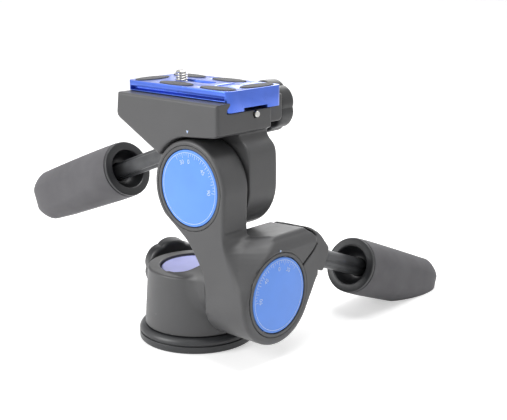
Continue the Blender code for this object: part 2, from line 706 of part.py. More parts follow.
def cut_rod_way(casting, rod):
    """Cut the rod's counterbore and the stud's tapped hole."""
    seat = disc("seat", ROD_RADIUS + FIT, STUD_SEAT, STUD_SEAT + EAR_REACH, rod, "cast_black",
                0, SMALL_STEPS)
    stud = disc("stud", STUD_RADIUS + FIT, STUD_START - FIT, STUD_SEAT + FIT, rod, "cast_black",
                0, SMALL_STEPS)
    return cut(casting, seat, stud)


def arm_plate_outline():
    """Return the upper plate of the arm, seen from the front."""
    centre = (ROLL_X, ROLL_HEIGHT)
    hub = arc(centre, HUB_RADIUS, 0, 222, 22)
    edge_x = ROLL_X + HUB_RADIUS
    left = [(0.62 * ROLL_X, TILT_HEIGHT + 1.11 * BARREL_RADIUS),
            (0.95 * ROLL_X, TILT_HEIGHT + 0.93 * BARREL_RADIUS),
            (1.3 * ROLL_X, TILT_HEIGHT + 0.6 * BARREL_RADIUS),
            (SPLIT_X + FIT, TILT_HEIGHT + 0.28 * BARREL_RADIUS)]
    right = [(1.75 * SPLIT_X, TILT_HEIGHT + 0.3 * BARREL_RADIUS),
             (1.71 * SPLIT_X, TILT_HEIGHT + 0.85 * BARREL_RADIUS),
             (edge_x + 0.18 * HUB_RADIUS, TILT_HEIGHT + 1.1 * BARREL_RADIUS),
             (edge_x + 0.08 * HUB_RADIUS, TILT_HEIGHT + 1.45 * BARREL_RADIUS),
             (edge_x + 0.01 * HUB_RADIUS, TILT_HEIGHT + 1.85 * BARREL_RADIUS)]
    return hub + left + right


def housing_outline():
    """Return the arm's lower housing, seen along the tilt axis."""
    barrel = arc((0, 0), BARREL_RADIUS, 176, 332, 17)
    end, along, across = ear_end(EAR_REACH)
    low_corner = end - across * EAR_HALF
    high_corner = end + across * EAR_HALF
    under = [(1.08 * BARREL_RADIUS, -0.14 * BARREL_RADIUS),
             (1.2 * BARREL_RADIUS, 0.08 * BARREL_RADIUS),
             (1.36 * BARREL_RADIUS, 0.14 * BARREL_RADIUS),
             tuple(low_corner - along * EAR_HALF / 2)]
    top = [tuple(high_corner), (0.965 * EAR_REACH, 0.63 * HOUSING_TOP),
           (0.88 * EAR_REACH, 0.81 * HOUSING_TOP), (0.76 * EAR_REACH, 0.93 * HOUSING_TOP),
           (0.62 * EAR_REACH, HOUSING_TOP)]
    return barrel + under + [tuple(low_corner)] + top + [(ARM_FRONT, HOUSING_TOP)]


def make_arm():
    """The arm casting: a split housing on the tilt shaft and a plate for the roll shaft."""
    floor_x = tilt_recess_floor()
    housing = prism("arm_casting", housing_outline(), SPLIT_X, BARREL_END_X, TILT_FRAME,
                    "cast_black", BARREL_EDGE, 2, ("high",))
    plate = prism("plate", arm_plate_outline(), -ARM_BACK, -ARM_FRONT, FRONT_FRAME,
                  "cast_black", ARM_EDGE, 2)
    fuse(housing, plate)
    lean_height = HOUSING_TOP - BARREL_EDGE
    lean = [(BARREL_END_X + OVERRUN, TILT_HEIGHT + lean_height - BARREL_EDGE),
            (BARREL_END_X + OVERRUN, TILT_HEIGHT + HOUSING_TOP + OVERRUN),
            (BARREL_END_X - 4 * BARREL_EDGE, TILT_HEIGHT + HOUSING_TOP + OVERRUN),
            (BARREL_END_X - 2.6 * BARREL_EDGE, TILT_HEIGHT + HOUSING_TOP - FIT)]
    lean_tool = prism("lean", lean, -(EAR_REACH + OVERRUN), OVERRUN - 2 * ARM_FRONT,
                      FRONT_FRAME, "cast_black")
    cut(housing, lean_tool)
    ear_side = 1.3 * EAR_HALF
    start = 1.2 * BARREL_RADIUS
    front_taper = [(start, BARREL_END_X + OVERRUN), (start, BARREL_END_X),
                   (EAR_REACH, TILT_ROD_X + ear_side), (EAR_REACH + EAR_HALF, TILT_ROD_X + ear_side),
                   (EAR_REACH + EAR_HALF, BARREL_END_X + OVERRUN)]
    back_taper = [(start, SPLIT_X - OVERRUN), (EAR_REACH + EAR_HALF, SPLIT_X - OVERRUN),
                  (EAR_REACH + EAR_HALF, TILT_ROD_X - ear_side), (EAR_REACH, TILT_ROD_X - ear_side),
                  (start, SPLIT_X)]
    plan = Matrix(((0, 1, 0, 0), (1, 0, 0, 0), (0, 0, 1, 0), (0, 0, 0, 1)))
    for name, outline in (("front_taper", front_taper), ("back_taper", back_taper)):
        cut(housing, prism(name, outline, TILT_HEIGHT - BARREL_RADIUS,
                           TILT_HEIGHT + HOUSING_TOP + OVERRUN, plan, "cast_black"))
    clearance = disc("clearance", BOSS_RADIUS + 2 * FIT, -BARREL_RADIUS, SPLIT_X, TILT_FRAME,
                     "cast_black", 0, LARGE_STEPS)
    bore = disc("bore", CLAMP_BORE_RADIUS, SPLIT_X - OVERRUN, floor_x + OVERRUN, TILT_FRAME,
                "cast_black", 0, LARGE_STEPS)
    recess = disc("recess", RECESS_RADIUS, floor_x, BARREL_END_X + OVERRUN, TILT_FRAME,
                  "cast_black", 0, LARGE_STEPS)
    saw = prism("saw", band(slit_line(), SLIT), SPLIT_X - OVERRUN, BARREL_END_X + OVERRUN,
                TILT_FRAME, "cast_black")
    cut(housing, clearance, bore, recess, saw)
    cut_rod_way(housing, TILT_ROD)
    roll_floor = roll_recess_floor()
    roll_recess = disc("roll_recess", RECESS_RADIUS, ARM_FRONT - OVERRUN, roll_floor, ROLL_FRAME,
                       "cast_black", 0, LARGE_STEPS)
    roll_bolt = disc("roll_bolt", BOLT_RADIUS + FIT, ARM_FRONT, ARM_BACK + OVERRUN, ROLL_FRAME,
                     "cast_black", 0, SMALL_STEPS)
    roll_spigot = disc("roll_spigot", SPIGOT_RADIUS + FIT, ARM_BACK - SPIGOT_DEPTH,
                       ARM_BACK + OVERRUN, ROLL_FRAME, "cast_black")
    return cut(housing, roll_recess, roll_bolt, roll_spigot)


def roll_recess_floor():
    """Return where the arm's front dial recess ends, along the roll axis."""
    return ARM_FRONT + DIAL_INSET + DIAL_HEIGHT + FIT


def make_sleeve(name, place, low, high):
    """A split bush between a shaft and its clamp bore."""
    inner = SHAFT_RADIUS + FIT
    sleeve = tube(name, inner, inner + SLEEVE_WALL, low, high, place, "bearing_plastic")
    line = slit_line()[:2]
    back = [(line[0][0] * 0.8, line[0][1] * 0.8)]
    saw = prism("saw", band(back + line, SLIT), low - OVERRUN, high + OVERRUN, place,
                "bearing_plastic")
    return cut(sleeve, saw)


def make_roll_shaft():
    """Shaft bolted to the arm's plate, with its dial, bezel and rear retainer."""
    start = ARM_BACK - SPIGOT_DEPTH + FIT
    flank = ARM_BACK + FIT
    hole = BOLT_RADIUS + FIT
    shaft = lathe("roll_shaft",
                  [(hole, start), (SPIGOT_RADIUS, start), (SPIGOT_RADIUS, flank),
                   (SHAFT_RADIUS, flank), (SHAFT_RADIUS, SHAFT_END_Y), (hole, SHAFT_END_Y)],
                  ROLL_FRAME, "steel", MEDIUM_STEPS)
    floor_y = roll_recess_floor()
    head_back = floor_y - FIT
    bolt_end = ARM_BACK + SHAFT_RADIUS / 2
    bolt = lathe("roll_shaft_bolt",
                 [(0, head_back - BOLT_HEAD_HEIGHT), (BOLT_HEAD_RADIUS, head_back - BOLT_HEAD_HEIGHT),
                  (BOLT_HEAD_RADIUS, head_back), (BOLT_RADIUS, head_back), (BOLT_RADIUS, bolt_end),
                  (0, bolt_end)], ROLL_FRAME, "steel", SMALL_STEPS)
    dial = make_dial("roll_dial", ROLL_FRAME, head_back, -1)
    bezel = make_bezel("roll_bezel", ROLL_FRAME, head_back, -1)
    retainer_low = SHAFT_END_Y + FIT
    retainer = tube("roll_retainer", hole, END_CAP_RADIUS, retainer_low,
                    retainer_low + RETAINER_THICKNESS, ROLL_FRAME, "steel")
    head_low = retainer_low + RETAINER_THICKNESS + FIT
    screw = lathe("roll_retainer_screw",
                  [(0, bolt_end + FIT), (BOLT_RADIUS, bolt_end + FIT), (BOLT_RADIUS, head_low),
                   (BOLT_HEAD_RADIUS, head_low), (BOLT_HEAD_RADIUS, head_low + BOLT_HEAD_HEIGHT),
                   (0, head_low + BOLT_HEAD_HEIGHT)], ROLL_FRAME, "steel", SMALL_STEPS)
    cap_top = HUB_BACK + END_CAP_PROUD
    cap_under = head_low + BOLT_HEAD_HEIGHT + FIT
    inner = END_CAP_RADIUS - DIAL_SKIRT
    cap = lathe("roll_end_cap", [(0, cap_under), (inner, cap_under), (inner, head_low),
                                 (END_CAP_RADIUS, head_low),
                                 (END_CAP_RADIUS, cap_top - DIAL_BEVEL),
                                 (END_CAP_RADIUS - DIAL_BEVEL, cap_top), (0, cap_top)],
                ROLL_FRAME, "plastic_black", LARGE_STEPS)
    return [shaft, bolt, dial, bezel, retainer, screw, cap]


def block_outline():
    """Return the platform's front block, seen from the front."""
    left = BLOCK_LEFT
    arch = HUB_SIDE + 4 * FIT
    arch_points = arc((ROLL_X, ROLL_HEIGHT), arch, 146, 90, 8)
    side = [(left + 0.4 * BLOCK_CORNER, JAW_TOP), (left, BLOCK_BOTTOM + 1.9 * BLOCK_CORNER),
            (left + 0.35 * BLOCK_CORNER, BLOCK_BOTTOM + BLOCK_CORNER)]
    return (side + arch_points
            + [(BLOCK_RIGHT - BLOCK_CORNER, BLOCK_BOTTOM - 0.2 * BLOCK_CORNER),
               (BLOCK_RIGHT, BLOCK_BOTTOM + 0.3 * BLOCK_CORNER), (BLOCK_RIGHT, JAW_TOP)])


def hub_outline():
    """Return the platform's rear hub in the clamp's (u, v), with the handle's ear."""
    end, along, across = ear_end(ROLL_EAR_REACH)
    low_corner = end - across * EAR_HALF
    high_corner = end + across * EAR_HALF
    circle = arc((0, 0), HUB_SIDE, -180, -12, 18)
    neck_u = -(BLOCK_RIGHT - ROLL_X) + 0.2 * BLOCK_CORNER
    rise = BLOCK_BOTTOM - ROLL_HEIGHT
    ear = [(1.1 * HUB_SIDE, -0.02 * HUB_SIDE), (1.25 * HUB_SIDE, 0.1 * HUB_SIDE),
           tuple(low_corner), tuple(high_corner),
           tuple(high_corner - along * EAR_HALF * 1.6),
           (0.98 * HUB_SIDE, 0.8 * HUB_SIDE)]
    inner = [(0.5 * HUB_SIDE, rise), (neck_u, rise), (neck_u - 0.08 * HUB_SIDE, 0.98 * HUB_SIDE),
             (-0.93 * HUB_SIDE, 0.85 * HUB_SIDE), (-HUB_SIDE, 0.68 * HUB_SIDE)]
    return circle + ear + inner


def make_platform():
    """The platform casting: a split hub on the roll shaft under the plate's seat."""
    block = prism("platform_casting", block_outline(), -HUB_BACK, -ARM_FRONT, FRONT_FRAME,
                  "cast_black", BLOCK_EDGE, 2)
    hub = prism("hub", hub_outline(), HUB_FRONT, HUB_BACK, ROLL_FRAME, "cast_black", ARM_EDGE, 2)
    fuse(block, hub)
    seat_front = PLATE_CENTRE_Y - PLATE_WIDTH / 2 - FIT
    flank_low = SEAT_HEIGHT + FIT + PLATE_FOOT
    seat = [(seat_front, SEAT_HEIGHT), (seat_front, flank_low),
            (seat_front + PLATE_DOVETAIL, flank_low + PLATE_DOVETAIL),
            (seat_front + PLATE_DOVETAIL, JAW_TOP + OVERRUN),
            (HUB_BACK + OVERRUN, JAW_TOP + OVERRUN), (HUB_BACK + OVERRUN, SEAT_HEIGHT)]
    seat_tool = prism("seat", seat, BLOCK_LEFT - OVERRUN, BLOCK_RIGHT + OVERRUN, SIDE_FRAME,
                      "cast_black")
    cut(block, seat_tool)
    arch = disc("arch", HUB_SIDE + 2 * FIT, ARM_FRONT - OVERRUN, HUB_FRONT, ROLL_FRAME,
                "cast_black", 0, LARGE_STEPS)
    bore = disc("bore", CLAMP_BORE_RADIUS, HUB_FRONT - OVERRUN, SHAFT_END_Y + OVERRUN, ROLL_FRAME,
                "cast_black", 0, LARGE_STEPS)
    back = disc("back", END_CAP_RADIUS + FIT, SHAFT_END_Y, HUB_BACK + OVERRUN, ROLL_FRAME,
                "cast_black", 0, LARGE_STEPS)
    saw = prism("saw", band(slit_line()[:3], SLIT), HUB_FRONT - OVERRUN, HUB_BACK + OVERRUN,
                ROLL_FRAME, "cast_black")
    cut(block, arch, bore, back, saw)
    cut_rod_way(block, ROLL_ROD)
    screw_way = disc("screw_way", CLAMP_SCREW_RADIUS + FIT, CLAMP_SCREW_START - FIT,
                     HUB_BACK + OVERRUN, CLAMP_FRAME, "cast_black", 0, SMALL_STEPS)
    spring_way = disc("spring_way", SPRING_POCKET_RADIUS, HUB_BACK - SPRING_POCKET_DEPTH,
                      HUB_BACK + OVERRUN, CLAMP_FRAME, "cast_black", 0, SMALL_STEPS)
    cut(block, screw_way, spring_way)
    for x in (GUIDE_LEFT_X, GUIDE_RIGHT_X):
        cut(block, disc("guide_way", GUIDE_RADIUS + FIT, GUIDE_START - FIT, HUB_BACK + OVERRUN,
                        guide_frame(x), "cast_black", 0, SMALL_STEPS))
    pin_way = disc("pin_way", STOP_PIN_RADIUS + FIT, STOP_PIN_START - FIT, BLOCK_RIGHT + OVERRUN,
                   pin_frame(), "cast_black", 0, SMALL_STEPS)
    return cut(block, pin_way)


def guide_frame(x):
    """Return the frame of a guide pin, with Z along world +Y."""
    return frame_matrix((x, 0, CLAMP_HEIGHT), (0, 0, 1), (1, 0, 0))


def pin_frame():
    """Return the frame of the plate's stop pin, with Z along world +X."""
    return frame_matrix((0, STOP_PIN_Y, STOP_PIN_HEIGHT), (0, 1, 0), (0, 0, 1))


def make_jaw_fittings():
    """Guide pins, spring and stop pin held by the platform."""
    pins = []
    for name, x in (("jaw_guide_pin_left", GUIDE_LEFT_X), ("jaw_guide_pin_right", GUIDE_RIGHT_X)):
        pins.append(disc(name, GUIDE_RADIUS, GUIDE_START, GUIDE_END, guide_frame(x), "steel",
                         FIT, SMALL_STEPS))
    stop = disc("plate_stop_pin", STOP_PIN_RADIUS, STOP_PIN_START, STOP_PIN_END, pin_frame(),
                "steel", FIT, SMALL_STEPS)
    spring = make_spring()
    return pins + [stop, spring]


def make_spring():
    """A short coil spring round the clamp screw."""
    low = HUB_BACK - SPRING_POCKET_DEPTH + FIT + SPRING_WIRE
    high = JAW_FRONT + SPRING_POCKET_DEPTH - FIT - SPRING_WIRE
    points = SPRING_TURNS * SMALL_STEPS
    sections = []
    for index in range(points + 1):
        share = index / points
        turn = math.tau * SPRING_TURNS * share
        height = low + (high - low) * share
        outward = Vector((math.cos(turn), math.sin(turn), 0))
        middle = outward * SPRING_RADIUS + Vector((0, 0, height))
        ring = []
        for side in range(SPRING_SIDES):
            angle = math.tau * side / SPRING_SIDES
            ring.append(middle + outward * math.cos(angle) * SPRING_WIRE
                        + Vector((0, 0, 1)) * math.sin(angle) * SPRING_WIRE)
        sections.append(ring)
    return loft("jaw_spring", sections, CLAMP_FRAME, "steel")


def make_rear_jaw():
    """The moving jaw, whose lip grips the plate's rear flank."""
    plate_back = PLATE_CENTRE_Y + PLATE_WIDTH / 2 + FIT
    flank_low = SEAT_HEIGHT + FIT + PLATE_FOOT
    lip = plate_back - PLATE_DOVETAIL
    outline = [(JAW_FRONT, JAW_BOTTOM), (JAW_BACK - JAW_CORNER, JAW_BOTTOM),
               (JAW_BACK, JAW_BOTTOM + JAW_CORNER), (JAW_BACK, JAW_TOP - JAW_CORNER / 2),
               (JAW_BACK - JAW_CORNER / 2, JAW_TOP), (lip, JAW_TOP),
               (lip, flank_low + PLATE_DOVETAIL), (plate_back, flank_low),
               (plate_back, SEAT_HEIGHT), (JAW_FRONT, SEAT_HEIGHT)]
    jaw = prism("rear_jaw", outline, JAW_LEFT, JAW_RIGHT, SIDE_FRAME, "cast_black", BLOCK_EDGE, 2)
    screw_way = disc("screw_way", CLAMP_SCREW_RADIUS + FIT, JAW_FRONT - OVERRUN,
                     JAW_BACK + OVERRUN, CLAMP_FRAME, "cast_black", 0, SMALL_STEPS)
    spring_way = disc("spring_way", SPRING_POCKET_RADIUS, JAW_FRONT - OVERRUN,
                      JAW_FRONT + SPRING_POCKET_DEPTH, CLAMP_FRAME, "cast_black", 0, SMALL_STEPS)
    cut(jaw, screw_way, spring_way)
    for x in (GUIDE_LEFT_X, GUIDE_RIGHT_X):
        cut(jaw, disc("guide_way", GUIDE_RADIUS + FIT, JAW_FRONT - OVERRUN, GUIDE_END + FIT,
                      guide_frame(x), "cast_black", 0, SMALL_STEPS))
    return jaw


def make_clamp_knob():
    """The lobed knob and its screw, which draw the jaw in."""
    hub_start = JAW_BACK + FIT
    bore_end = CLAMP_KNOB_START + CLAMP_KNOB_THICKNESS * KNOB_BORE_SHARE
    knob = make_knob("clamp_knob", CLAMP_KNOB_RADIUS, hub_start, CLAMP_KNOB_START,
                     CLAMP_KNOB_START + CLAMP_KNOB_THICKNESS, CLAMP_SCREW_RADIUS + FIT, bore_end,
                     CLAMP_FRAME)
    screw = disc("clamp_screw", CLAMP_SCREW_RADIUS, CLAMP_SCREW_START, bore_end - FIT, CLAMP_FRAME,
                 "steel", FIT, SMALL_STEPS)
    return [knob, screw]


def plate_section():
    """Return half of the plate's cross section as (half width, height) from its underside."""
    half = PLATE_WIDTH / 2
    flank_top = PLATE_FOOT + PLATE_DOVETAIL
    waist = half - PLATE_DOVETAIL
    bead_low = flank_top + PLATE_WAIST
    bead_high = bead_low + PLATE_BEAD
    groove_high = bead_high + PLATE_GROOVE
    lip = half - PLATE_BEAD_DEPTH
    return [(half, PLATE_FOOT), (waist, flank_top), (waist, bead_low), (lip, bead_low),
            (lip, bead_high), (half - PLATE_GROOVE_DEPTH, bead_high + PLATE_GROOVE / 4),
            (half - PLATE_GROOVE_DEPTH, groove_high - PLATE_GROOVE / 4), (half, groove_high)]


def make_plate():
    """The dovetail plate with its flanks, grooves, channel, slot and pad pockets."""
    left = PLATE_CENTRE_X - PLATE_LENGTH / 2
    right = PLATE_CENTRE_X + PLATE_LENGTH / 2
    front = PLATE_CENTRE_Y - PLATE_WIDTH / 2
    back = PLATE_CENTRE_Y + PLATE_WIDTH / 2
    bottom = SEAT_HEIGHT + FIT
    top = bottom + PLATE_HEIGHT
    plate = prism("release_plate", rounded_rectangle(left, front, right, back, PLATE_CORNER),
                  bottom, top, UPRIGHT, "blue_anodised", PLATE_EDGE, 1, ("high",))
    section = plate_section()
    flank = section[:4]
    outer = PLATE_WIDTH / 2 + OVERRUN
    flank = [(outer, bottom + PLATE_FOOT)] + [(w, bottom + h) for w, h in flank]
    flank.append((outer, bottom + section[3][1]))
    groove = [(outer, bottom + section[4][1])] + [(w, bottom + h) for w, h in section[4:]]
    groove.append((outer, bottom + section[7][1]))
    for side in (-1, 1):
        shaped = [(PLATE_CENTRE_Y + side * w, z) for w, z in flank]
        cut(plate, prism("flank", shaped, left - OVERRUN, right - PLATE_END_WALL, SIDE_FRAME,
                         "blue_anodised"))
        shaped = [(PLATE_CENTRE_Y + side * w, z) for w, z in groove]
        cut(plate, prism("groove", shaped, left + PLATE_GROOVE_END, right - PLATE_GROOVE_END,
                         SIDE_FRAME, "blue_anodised"))
    half_channel = CHANNEL_WIDTH / 2
    channel = prism("channel", rectangle(CHANNEL_START, PLATE_CENTRE_Y - half_channel,
                                         right + OVERRUN, PLATE_CENTRE_Y + half_channel),
                    bottom - OVERRUN, bottom + CHANNEL_DEPTH, UPRIGHT, "blue_anodised")
    slot = prism("slot", slot_outline((SLOT_START, PLATE_CENTRE_Y), (SLOT_END, PLATE_CENTRE_Y),
                                      SLOT_WIDTH),
                 bottom, top + OVERRUN, UPRIGHT, "blue_anodised")
    half_groove = (GROOVE_LENGTH - GROOVE_WIDTH) / 2
    cross = prism("cross", slot_outline((GROOVE_X, PLATE_CENTRE_Y - half_groove),
                                        (GROOVE_X, PLATE_CENTRE_Y + half_groove), GROOVE_WIDTH, 3),
                  top - GROOVE_DEPTH, top + OVERRUN, UPRIGHT, "blue_anodised")
    cut(plate, channel, slot, cross)
    for _, x, y, long_x, wide_y in pad_places():
        outline = [(x + a, y + b) for a, b in lens_outline(long_x + 2 * FIT, wide_y + 2 * FIT)]
        cut(plate, prism("pocket", outline, top - PAD_POCKET_DEPTH, top + OVERRUN, UPRIGHT,
                         "blue_anodised"))
    for x in (-1, 1):
        cut(plate, disc("screw_way", STOP_SCREW_RADIUS + FIT, bottom - OVERRUN,
                        bottom + STOP_SCREW_LENGTH + FIT, stop_screw_frame(x), "blue_anodised",
                        0, SMALL_STEPS))
    return plate


def pad_places():
    """Return each pad's name, middle and size along X and Y: three pads, turned half round."""
    places = []
    for names, side in ((("left_end", "left_back", "left_front"), -1),
                        (("right_end", "right_front", "right_back"), 1)):
        middles = ((END_PAD_X, END_PAD_Y), (OUTER_PAD_X, -SIDE_PAD_Y), (INNER_PAD_X, SIDE_PAD_Y))
        sizes = ((PAD_WIDE, PAD_LONG), (PAD_LONG, PAD_WIDE), (PAD_LONG, PAD_WIDE))
        for name, (x, y), (long_x, wide_y) in zip(names, middles, sizes):
            places.append(("pad_" + name, PLATE_CENTRE_X + side * x, PLATE_CENTRE_Y + side * y,
                           long_x, wide_y))
    return places


def stop_screw_frame(side):
    """Return the frame of a stop screw under the plate."""
    x = PLATE_CENTRE_X + side * STOP_SCREW_X
    return Matrix.Translation((x, PLATE_CENTRE_Y + side * STOP_SCREW_Y, 0))


def make_plate_fittings():
    """Rubber pads and stop screws of the plate."""
    top = SEAT_HEIGHT + FIT + PLATE_HEIGHT
    made = []
    for name, x, y, long_x, wide_y in pad_places():
        outline = [(x + a, y + b) for a, b in lens_outline(long_x, wide_y)]
        made.append(prism(name, outline, top - PAD_POCKET_DEPTH + FIT, top + PAD_PROUD, UPRIGHT,
                          "rubber_black"))
    bottom = SEAT_HEIGHT + FIT
    for name, side in (("stop_screw_left", -1), ("stop_screw_right", 1)):
        made.append(disc(name, STOP_SCREW_RADIUS, bottom, bottom + STOP_SCREW_LENGTH,
                         stop_screw_frame(side), "steel", 0, SMALL_STEPS))
    return made


def make_camera_screw():
    """The camera screw with its coin slot, and the washer that rides in the slot."""
    place = Matrix.Translation((SLOT_START, PLATE_CENTRE_Y, 0))
    ceiling = SEAT_HEIGHT + FIT + CHANNEL_DEPTH
    washer_top = ceiling - FIT
    washer = tube("screw_washer", CAMERA_SCREW_RADIUS + FIT, SCREW_WASHER_RADIUS,
                  washer_top - SCREW_WASHER_HEIGHT, washer_top, place, "steel")
    head_top = washer_top - SCREW_WASHER_HEIGHT - FIT
    head_low = head_top - CAMERA_HEAD_HEIGHT
    top = SEAT_HEIGHT + FIT + PLATE_HEIGHT + CAMERA_SCREW_RISE
    tip = CAMERA_SCREW_RADIUS / 4
    screw = lathe("camera_screw",
                  [(0, head_low), (CAMERA_HEAD_RADIUS, head_low), (CAMERA_HEAD_RADIUS, head_top),
                   (CAMERA_SCREW_RADIUS, head_top), (CAMERA_SCREW_RADIUS, top - tip),
                   (CAMERA_SCREW_RADIUS - tip, top), (0, top)], place, "steel", GRIP_STEPS)
    half_slot = COIN_SLOT_WIDTH / 2
    reach = CAMERA_HEAD_RADIUS + OVERRUN
    slot = prism("coin_slot", rectangle(-reach, -half_slot, reach, half_slot),
                 head_low - OVERRUN, head_low + COIN_SLOT_DEPTH, place, "steel")
    cut(screw, slot)
    return washer, screw


def fluted_section(radius, depth_share, height, steps=24):
    """Return a round section with a few long grooves."""
    ring = []
    for step in range(steps):
        turn = math.tau * step / steps
        wave = max(0, math.cos(ROD_FLUTES * turn)) ** 6
        reach = radius * (1 - depth_share * wave)
        ring.append((reach * math.cos(turn), reach * math.sin(turn), height))
    return ring


def make_handle(prefix, place):
    """One handle: rod, washer and stop turn as one, grip and funnel slide on them."""
    shoulder = STUD_SEAT + 2 * FIT + ROD_WASHER
    rod_end = GRIP_START + FUNNEL_LENGTH
    rod = loft(prefix + "_handle_rod",
               [fluted_section(ROD_RADIUS, ROD_FLUTE_DEPTH_SHARE, shoulder),
                fluted_section(ROD_RADIUS, ROD_FLUTE_DEPTH_SHARE, rod_end)], place, "cast_black")
    stud = disc("stud", STUD_RADIUS, STUD_START, shoulder + OVERRUN, place, "steel", 0, SMALL_STEPS)
    fuse(rod, stud)
    washer_low = STUD_SEAT + FIT
    washer = tube(prefix + "_rod_washer", STUD_RADIUS + FIT, ROD_RADIUS - FIT, washer_low,
                  washer_low + ROD_WASHER, place, "steel", SMALL_STEPS)
    stop_low = rod_end + FIT
    stop = disc(prefix + "_rod_stop", ROD_STOP_RADIUS, stop_low, stop_low + ROD_STOP_LENGTH, place,
                "steel", FIT, SMALL_STEPS)
    return [rod, washer, stop], [make_grip(prefix, place), make_funnel(prefix, place)]


def make_grip(prefix, place):
    """The grip: round at its front, with four soft flats towards its end."""
    start = GRIP_WALL_START
    length = GRIP_LENGTH - start
    sections = []
    for share, wide_share, flat_share in GRIP_SECTION_SHARES:
        flat = GRIP_FLAT_SHARE * flat_share
        radius = GRIP_RADIUS * wide_share
        height = GRIP_START + start + length * share
        ring = []
        for step in range(GRIP_STEPS):
            turn = math.tau * step / GRIP_STEPS
            reach = radius * (1 - flat * (1 + math.cos(4 * turn)) / 2)
            ring.append((reach * math.cos(turn), reach * math.sin(turn), height))
        sections.append(ring)
    grip = loft(prefix + "_grip", sections, place, "rubber_black")
    mouth = GRIP_START
    body_end = mouth + FUNNEL_BODY_LENGTH + FIT
    neck_end = mouth + FUNNEL_LENGTH + FIT
    stop_way = neck_end + ROD_STOP_LENGTH + GRIP_TRAVEL + FIT
    for name, radius, low, high in (
            ("body_way", FUNNEL_BODY_RADIUS + FIT, mouth, body_end),
            ("neck_way", FUNNEL_NECK_RADIUS + FIT, mouth, neck_end),
            ("stop_way", ROD_STOP_RADIUS + FIT, mouth, stop_way)):
        cut(grip, disc(name, radius, low, high, place, "rubber_black", 0, GRIP_STEPS))
    return grip


def make_funnel(prefix, place):
    """The dark insert in the grip's mouth, which slides on the rod."""
    front = GRIP_START
    bore = ROD_RADIUS + FIT
    flange = GRIP_RADIUS - FIT
    bowl = front + FUNNEL_BOWL_DEPTH
    deep = FUNNEL_MOUTH_RADIUS - bore
    curve = [(bore + deep * math.sin(math.radians(angle)),
              bowl - FUNNEL_BOWL_DEPTH * (1 - math.cos(math.radians(angle))))
             for angle in (25, 60, 90)]
    profile = [(bore, front + FUNNEL_LENGTH), (bore, bowl)] + curve
    profile += [(flange - BASE_CHAMFER / 2, front), (flange, front + BASE_CHAMFER / 2),
                (flange, front + FUNNEL_FLANGE), (FUNNEL_BODY_RADIUS, front + FUNNEL_FLANGE),
                (FUNNEL_BODY_RADIUS, front + FUNNEL_BODY_LENGTH),
                (FUNNEL_NECK_RADIUS, front + FUNNEL_BODY_LENGTH),
                (FUNNEL_NECK_RADIUS, front + FUNNEL_LENGTH)]
    return lathe(prefix + "_grip_funnel", profile, place, "plastic_black", GRIP_STEPS)


def attach(pieces, holder, place):
    """Hang pieces, modelled in the world, on an empty that stands at place."""
    for piece in pieces:
        piece.data.transform(place.inverted())
        piece.parent = holder


def shade(piece):
    """Shade a piece smooth and keep its real edges sharp."""
    piece.data.shade_smooth()
    piece.data.set_sharp_from_angle(angle=math.radians(32))


def clear_scene():
    """Remove whatever the file holds."""
    for thing in list(bpy.data.objects):
        bpy.data.objects.remove(thing, do_unlink=True)


def main():
    """Build every piece and hang it on its joint's empty."""
    clear_scene()
    base = make_base()
    shoe, knob_screw, pan_knob = make_pan_brake()
    turret = [make_turret(), shoe] + make_tilt_shaft()
    sleeve_end = tilt_recess_floor() - FIT
    arm = [make_arm(), make_sleeve("tilt_sleeve", TILT_FRAME, SPLIT_X + FIT, sleeve_end)]
    arm += make_roll_shaft()
    roll_end_cap = arm.pop()
    tilt_rod, tilt_grip = make_handle("tilt", TILT_ROD)
    platform = [make_platform(), roll_end_cap,
                make_sleeve("roll_sleeve", ROLL_FRAME, HUB_FRONT + FIT, SHAFT_END_Y - FIT)]
    platform += make_jaw_fittings()
    roll_rod, roll_grip = make_handle("roll", ROLL_ROD)
    washer, camera_screw = make_camera_screw()
    plate_place = Matrix.Translation((PLATE_CENTRE_X, PLATE_CENTRE_Y, SEAT_HEIGHT))
    screw_place = Matrix.Translation((SLOT_START, PLATE_CENTRE_Y, SEAT_HEIGHT))
    bodies = (
        ("base", None, UPRIGHT, base),
        ("turret", "base", UPRIGHT, turret),
        ("pan_knob_pivot", "turret", PAN_KNOB_FRAME, [pan_knob, knob_screw]),
        ("arm", "turret", TILT_FRAME, arm),
        ("tilt_handle", "arm", TILT_ROD, tilt_rod),
        ("tilt_grip_slide", "tilt_handle", TILT_ROD, tilt_grip),
        ("platform", "arm", ROLL_FRAME, platform),
        ("roll_handle", "platform", ROLL_ROD, roll_rod),
        ("roll_grip_slide", "roll_handle", ROLL_ROD, roll_grip),
        ("jaw", "platform", CLAMP_FRAME, [make_rear_jaw()]),
        ("clamp_pivot", "jaw", CLAMP_FRAME, make_clamp_knob()),
        ("plate", "platform", plate_place, [make_plate()] + make_plate_fittings()),
        ("screw_slide", "plate", screw_place, [washer]),
        ("screw_pivot", "screw_slide", screw_place, [camera_screw]),
    )
    holders = {}
    worlds = {None: UPRIGHT}
    for name, parent, place, pieces in bodies:
        holder = bpy.data.objects.new(name + "_axis", None)
        bpy.context.scene.collection.objects.link(holder)
        holder.parent = holders.get(parent)
        holder.matrix_basis = worlds[parent].inverted() @ place
        holders[name] = holder
        worlds[name] = place
        attach(pieces, holder, place)
        for piece in pieces:
            shade(piece)


main()
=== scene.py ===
"""Looks of a three way pan tilt head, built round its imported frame.

Shapes are worked out in millimetres in the part's frame: the pan axis is Z, the
tilt axis runs along +X and the roll axis along +Y. Meshes are stored in metres.
"""
import math

import bmesh
import bpy
import numpy as np
from bpy.props import FloatProperty, FloatVectorProperty, PointerProperty
from mathutils import Euler, Matrix, Vector


